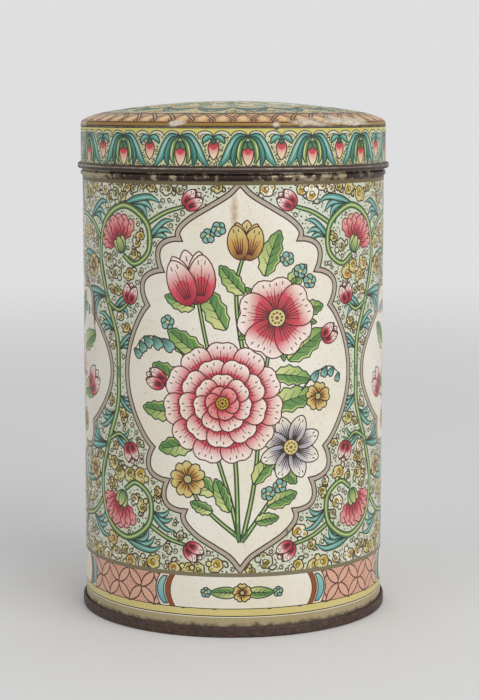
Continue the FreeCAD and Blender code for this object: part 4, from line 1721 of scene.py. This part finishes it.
@dataclass(frozen=True)
class Lid(Rolled):
    """The slip lid: the printed band with its curled edge, and the printed domed top."""

    radius: float = 45.45
    margin: float = 2.3
    foot: float = 133.86
    head: float = 144.25
    scallop_foot: float = 142.2
    repeats: int = 15
    print_turn: float = 5.3
    scallops: int = 4
    braid: float = 2.3
    strands: int = 48
    leaf_ring: float = 26.6
    leaf_line: tuple[float, float] = (26.9, 26.3)
    leaf_pairs: int = 18
    inner_leaves: int = 12

    @staticmethod
    def bud(pen: Pen, length: float, width: float) -> None:
        """Draws a hanging bud with a pointed tip, red above and cream below."""
        pen.shape(petal(length, width, -0.3, 0.3, points=13), Ink.ROSE, Ink.BUFF, (0.28, 0.8), Ink.RED_KEY)
        pen.shape(petal(length * 0.5, width * 0.84, -0.1, points=9), Ink.CRIMSON, Ink.ROSE, line=None)

    def arch(self, pen: Pen) -> None:
        """Draws a bud under an arch of drooping leaves, the outer pair flared at the foot.

        Args:
            pen: a pen at the arch's foot.
        """
        blades = (
            ([(0, 8.3), (2.7, 8.1), (4.7, 5.5), (6.2, 2.3), (8.0, 0.0)], 1.75, Ink.TEAL, Ink.SKY),
            ([(0.1, 8.1), (2.3, 7.3), (3.7, 4.6), (4.1, 2.2), (3.7, 0.1)], 1.35, Ink.DEEP_TEAL, Ink.TEAL),
            ([(0.2, 8.0), (1.7, 6.6), (2.4, 4.3), (2.5, 2.4), (1.9, 0.7)], 0.95, Ink.VINE, Ink.PALE_LEAF),
        )
        for flip in (1, -1):
            side = pen.at(0, 0, flip=flip)
            for points, width, ink, shine in blades:
                path = curve(points, steps=5)
                side.stroke(path, (0.8, width + 0.6, width + 0.7, width + 0.6, 0.9), Ink.GREEN_KEY)
                side.stroke(path[1:], (0.2, width, width, width * 0.9, 0.3), ink)
                side.stroke(path[4:-3] + (0.2, 0.08), (0.05, width * 0.46, width * 0.4, 0.1), shine)
        self.bud(pen.at(0, 6.0, 180), 5.8, 2.9)
        for turn in (148, -148):
            sepal = petal(2.3, 0.95, 0.0, 0.3, points=9)
            pen.at(0, 6.7, turn).shape(sepal, Ink.DEEP_TEAL, Ink.VINE, line=Ink.GREEN_KEY)

    def drop(self, pen: Pen) -> None:
        """Draws a bud that hangs free under a cap of drooping leaves.

        Args:
            pen: a pen at the band's foot below it.
        """
        self.bud(pen.at(0, 7.0, 180), 5.0, 2.7)
        pen.at(0, 8.2, 180).shape(petal(1.9, 1.2, 0.0, 0.3, points=9), Ink.DEEP_TEAL, line=Ink.GREEN_KEY)
        for flip in (1, -1):
            cap = pen.at(0, 0, flip=flip)
            path = curve([(0, 7.6), (1.2, 8.1), (2.3, 7.5), (3.2, 6.2)], steps=4)
            cap.stroke(path, (0.7, 1.75, 2.0, 0.6), Ink.GREEN_KEY)
            cap.stroke(path[1:-1], (0.2, 1.15, 1.25, 0.2), Ink.TEAL)
            cap.stroke(path[3:-2] + (0.1, 0.16), (0.1, 0.4, 0.1), Ink.SKY)

    def band_drawing(self) -> Sheet:
        """Draws the band: a scalloped edge above, and buds in and between arches of leaves.

        Returns:
            The drawing.
        """
        left, right = self.ends()
        repeat = self.roll().length(360 / self.repeats)
        first = self.roll().length(self.print_turn)
        numbers = range(math.floor((left - first) / repeat), math.ceil((right - first) / repeat) + 1)
        motifs = Sheet()
        for number in numbers:
            self.drop(Pen(motifs, first + (number + 0.5) * repeat, self.foot))
            self.arch(Pen(motifs, first + number * repeat, self.foot))
        edge = Sheet()
        edge.block((left, self.foot - 1), (right, self.scallop_foot), Ink.LID_MINT)
        edge.block((left, self.scallop_foot), (right, self.head), Ink.LID_GREEN)
        step = repeat / self.scallops
        half_round = disc(1.0, 20)[:11]
        bows = (
            (0.5, 1.6, Ink.SEPIA), (0.43, 1.32, Ink.PAPER), (0.27, 0.68, Ink.SEPIA),
            (0.21, 0.44, Ink.LID_MINT),
        )
        for number in range(numbers[0] * self.scallops, numbers[-1] * self.scallops):
            pen = Pen(edge, first + (number + 0.5) * step, self.scallop_foot)
            for width, height, ink in bows:
                edge.fill(pen.placed(half_round * (width * step, height)), ink)
        filling = Ground(3, motifs)
        low, high = (left, self.foot), (right, self.scallop_foot)
        for place in filling.spots(low, high, 1.45, 0.5):
            filling.coil(filling.any_pen(place), filling.chance.uniform(0.45, 0.7), 0.3)
        filling.sprinkle(low, high, 0.8, 0.22)
        return Sheet(edge, filling.sheet, motifs)

    @staticmethod
    def hoop(sheet: Sheet, outer: float, inner: float, ink: Ink) -> None:
        """Draws a ring of ink about the sheet's middle.

        Args:
            sheet: the sheet.
            outer: the ring's outer radius.
            inner: its inner radius.
            ink: its ink.
        """
        circles = [disc(radius, Former.FACETS) for radius in (outer, inner)]
        out, back = (np.vstack([circle, circle[:1]]) for circle in circles)
        sheet.fill(np.vstack([out, back[::-1]]), ink)

    def top_motifs(self) -> Sheet:
        """Draws the dome's flower, and the leaves and lines in rings round it.

        Returns:
            The drawing.
        """
        sheet = Sheet()
        for number in range(self.leaf_pairs):
            pen = Pen(sheet, 0, 0, 360 / self.leaf_pairs * number)
            Flora.feather(pen.at(0, 28.2, -20), 10.5, 3, Ink.DEEP_TEAL, Ink.TEAL)
            Flora.feather(pen.at(0, 28.2, 20, flip=-1), 10.5, 3, Ink.DEEP_TEAL, Ink.TEAL)
            Flora.forget_me_not(pen.at(0, 23.2), 1.9)
        self.hoop(sheet, *self.leaf_line, Ink.KEY)
        for number in range(self.inner_leaves):
            Flora.leaf(Pen(sheet, 0, 0, 360 / self.inner_leaves * number).at(0, 10), 9.5, 4.0)
        Flora.dahlia(Pen(sheet), 11.5)
        return sheet

    def top_drawing(self, dome: Dome) -> Sheet:
        """Draws the top: a rim strip, a braid on the shoulder, and rings of leaves on the dome.

        Args:
            dome: the metal that the drawing goes on.

        Returns:
            The drawing.
        """
        edge, inside = dome.edge(), dome.runs()[1][0] + self.braid
        ground, rim, motifs = Sheet(), Sheet(), self.top_motifs()
        ground.fill(disc(edge, Former.FACETS), Ink.IVORY)
        self.hoop(ground, inside, self.leaf_ring, Ink.SAGE)
        filling = Ground(7, motifs)
        for place in filling.spots((-inside, -inside), (inside, inside), 4.4, 1.7):
            filling.cloud(filling.any_pen(place), 2.2, 4)
        filling.sprinkle((-inside, -inside), (inside, inside), 1.8, 0.45)
        for inset, ink in ((0.0, Ink.UMBER), (0.35, Ink.BRONZE), (1.15, Ink.UMBER), (1.55, Ink.PEACH)):
            self.hoop(rim, edge - inset, inside, ink)
        self.hoop(rim, inside + 0.6, inside - 0.6, Ink.UMBER)
        low, high = inside + 0.7, edge - 1.7
        step = 360 / self.strands
        pale = petal(high - low - 0.5, 2.2, 0.4, points=9)
        for number in range(self.strands):
            pen = Pen(rim, 0, 0, step * number)
            pen.at(0, 0, step / 2).at(0, low + 0.3).shape(pale, Ink.PALE_PEACH, line=None)
            for lean in (1, -1):
                bend = (-2.6 * lean, low), (-0.9 * lean, low * 0.6 + high * 0.4), (0.9 * lean, high)
                strand = curve(bend)
                pen.stroke(strand, (1.3, 1.5, 1.1), Ink.UMBER)
                pen.stroke(strand, (0.1, 0.36, 0.1), Ink.PALE_PEACH)
        return Sheet(ground, filling.sheet, rim, motifs)

    def build(self) -> list[bpy.types.Object]:
        """Makes the printed pieces and dresses them and the metal.

        Returns:
            The printed pieces.
        """
        left, right = self.ends()
        border = corners((left, self.foot), (right, self.head))
        band = Press(self.band_drawing(), self.roll()).make("printed_lid_wall", border)
        dome = Dome()
        top = Press(self.top_drawing(dome), dome).make("printed_lid_dome", disc(dome.edge(), Former.FACETS))
        nicks = (Rub(15.5, 144.4, 1.8, 1.6), Rub(-128, 144.2, 2.2, 1.4), Rub(84, 144.3, 1.5, 1.2))
        wall_finish = PrintedTin("printed_lid_sheet", (133.3, 134.5), (144.05, 145.0), nicks)
        # Pale rubbed streaks round the top's corner. The wide one at the right, at bearing 40, is worn ink
        # and a painted highlight of the lamps on the corner in one.
        wear_and_highlight = (
            Rub(40, 146.0, 25, 2.3, 44.4), Rub(-20.5, 145.8, 3.6, 1.4, 44.8), Rub(-75, 145.5, 8, 1.5, 44.8),
            Rub(100, 145.6, 9, 1.7, 44.8), Rub(168, 145.6, 14, 1.6, 44.8), Rub(-140, 145.6, 10, 1.5, 44.8),
            Rub(15.5, 145.2, 2.0, 2.0),
        )
        top_finish = PrintedTin(
            "printed_top_sheet", (142.0, 143.0), (152.4, 153.4), wear_and_highlight, rust="#B5A283", bare="#DAD4C8",
            creep=0.1, shine=0.14, streak=4.0,
        )
        for piece, finish, slot in (
            (band, wall_finish, "printed_lid_band"), (top, top_finish, "printed_lid_top")
        ):
            dress(piece, finish.material())
            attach(piece, "lid")
        # The curl's band at 133.0 to 133.34 mm is a painted highlight: lighter colours with flakes stand in
        # for the lamps' reflection along the curl's ridge.
        curl = AgedTinplate(
            "browned_lid_curl", tin="#45382E", cloud="#2B211B", rust="#231915", ochre="#463326",
            rust_share=0.45, roughness=0.34, metallic=0.4, ring=(133.0, 133.34), ring_base_and_highlight="#75665A",
            ring_flake_and_highlight="#A39586",
        )
        dress(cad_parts["lid_skirt"], curl.material())
        dress(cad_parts["lid_top"], AgedTinplate("tinned_lid_top", rust_share=0.4).material())
        return [band, top]


@dataclass(frozen=True)
class Studio:
    """A pale paper floor, soft lamps, and a camera at the photograph's angle."""

    camera_place: tuple[float, float, float] = (1.87, -584.9, 152.1)
    look_down: float = 7.33
    lens: float = 100.0
    sensor: float = 36.0
    floor_size: float = 16.0
    paper: str = "#E9E8E6"
    fibre: str = "#E4E3E1"
    distance: str = "#DFDFE0"
    light: str = "#B2B3B6"
    near: float = 0.25
    far: float = 1.1

    def camera(self) -> None:
        """Adds the camera."""
        lens = bpy.data.cameras.new("camera")
        lens.lens, lens.sensor_width = self.lens, self.sensor
        lens.clip_start, lens.clip_end = 0.01, 50
        camera = bpy.data.objects.new("camera", lens)
        camera.location = Vector(self.camera_place) * MM
        camera.rotation_euler = (math.radians(90 - self.look_down), 0, 0)
        bpy.context.scene.collection.objects.link(camera)
        bpy.context.scene.camera = camera

    @staticmethod
    def seen(tree: bpy.types.NodeTree) -> bpy.types.NodeSocket:
        """Adds nodes that are 1 for rays that show the background: seen, mirrored or through glass.

        Args:
            tree: the nodes of the floor's material or of the world.

        Returns:
            The value, 1 or 0.
        """
        path = add(tree, "ShaderNodeLightPath").outputs
        either = add(
            tree, "ShaderNodeMath", {0: path["Is Camera Ray"], 1: path["Is Glossy Ray"]}, operation="MAXIMUM"
        ).outputs[0]
        return add(
            tree, "ShaderNodeMath", {0: either, 1: path["Is Transmission Ray"]}, operation="MAXIMUM"
        ).outputs[0]

    def floor(self) -> None:
        """Adds the floor: matt paper near the caddy, one even pale tone towards the horizon."""
        bpy.ops.object.select_all(action="DESELECT")
        bpy.ops.mesh.primitive_plane_add(size=self.floor_size, location=(0, 0, 0))
        floor = bpy.context.active_object
        floor.name = "paper_floor"
        finish = bpy.data.materials.new("matt_paper")
        finish.use_nodes = True
        tree = finish.node_tree
        where = add(tree, "ShaderNodeTexCoord").outputs["Object"]
        pulp = add(
            tree, "ShaderNodeTexNoise", {"Vector": where, "Scale": pitch(3), "Detail": 3.0}
        ).outputs["Fac"]
        colour = add(
            tree, "ShaderNodeMix", {0: pulp, MIX_A: linear(self.paper), MIX_B: linear(self.fibre)},
            data_type=COLOURS,
        ).outputs[MIX_RESULT]
        shader = tree.nodes["Principled BSDF"]
        tree.links.new(colour, shader.inputs["Base Color"])
        shader.inputs["Roughness"].default_value = 0.9
        away = add(tree, "ShaderNodeVectorMath", {0: where}, operation="LENGTH").outputs["Value"]
        limits = {0: away, 1: self.near, 2: self.far, 3: 0.0, 4: 1.0}
        far = add(tree, "ShaderNodeMapRange", limits, interpolation_type="SMOOTHSTEP").outputs[0]
        share = add(tree, "ShaderNodeMath", {0: far, 1: self.seen(tree)}, operation="MULTIPLY").outputs[0]
        even = add(tree, "ShaderNodeEmission", {"Color": linear(self.distance), "Strength": 1.0}).outputs[0]
        mixed = add(tree, "ShaderNodeMixShader", {0: share, 1: shader.outputs[0], 2: even}).outputs[0]
        tree.links.new(mixed, tree.nodes["Material Output"].inputs["Surface"])
        dress(floor, finish)

    def air(self) -> None:
        """Sets the world: a soft even light, and a pale background."""
        world = bpy.data.worlds.new("studio_air")
        bpy.context.scene.world = world
        world.use_nodes = True
        tree = world.node_tree
        colour = add(
            tree, "ShaderNodeMix",
            {0: self.seen(tree), MIX_A: linear(self.light), MIX_B: linear(self.distance)}, data_type=COLOURS,
        ).outputs[MIX_RESULT]
        tree.links.new(colour, tree.nodes["Background"].inputs["Color"])

    @staticmethod
    def lamp(name: str, place: tuple[float, float, float], size: float, power: float) -> None:
        """Adds a square soft lamp that points at the middle of the caddy.

        Args:
            name: its name.
            place: where it stands, in metres.
            size: the length of its sides, in metres.
            power: its power in watts.
        """
        light = bpy.data.lights.new(name, "AREA")
        light.size, light.energy = size, power
        lamp = bpy.data.objects.new(name, light)
        lamp.location = place
        aim = Vector((0, 0, 0.075)) - Vector(place)
        lamp.rotation_euler = aim.to_track_quat("-Z", "Y").to_euler()
        bpy.context.scene.collection.objects.link(lamp)

    def build(self) -> None:
        """Sets up the whole studio."""
        bpy.context.scene.view_settings.view_transform = "Standard"
        self.camera()
        self.floor()
        self.air()
        self.lamp("key_lamp", (0.95, -1.05, 0.75), 1.5, 15.3)
        self.lamp("fill_lamp", (-1.0, -0.85, 0.55), 0.9, 3.4)
        self.lamp("top_lamp", (0.1, 0.3, 1.5), 0.8, 2.2)


def main() -> None:
    """Builds the studio, the tin and the lid in order."""
    logging.basicConfig(level=logging.INFO, format="%(message)s")
    Studio().build()
    for assembly in (Tin(), Lid()):
        for piece in assembly.build():
            LOG.info("made %s", piece.name)


if __name__ == "__main__":
    main()
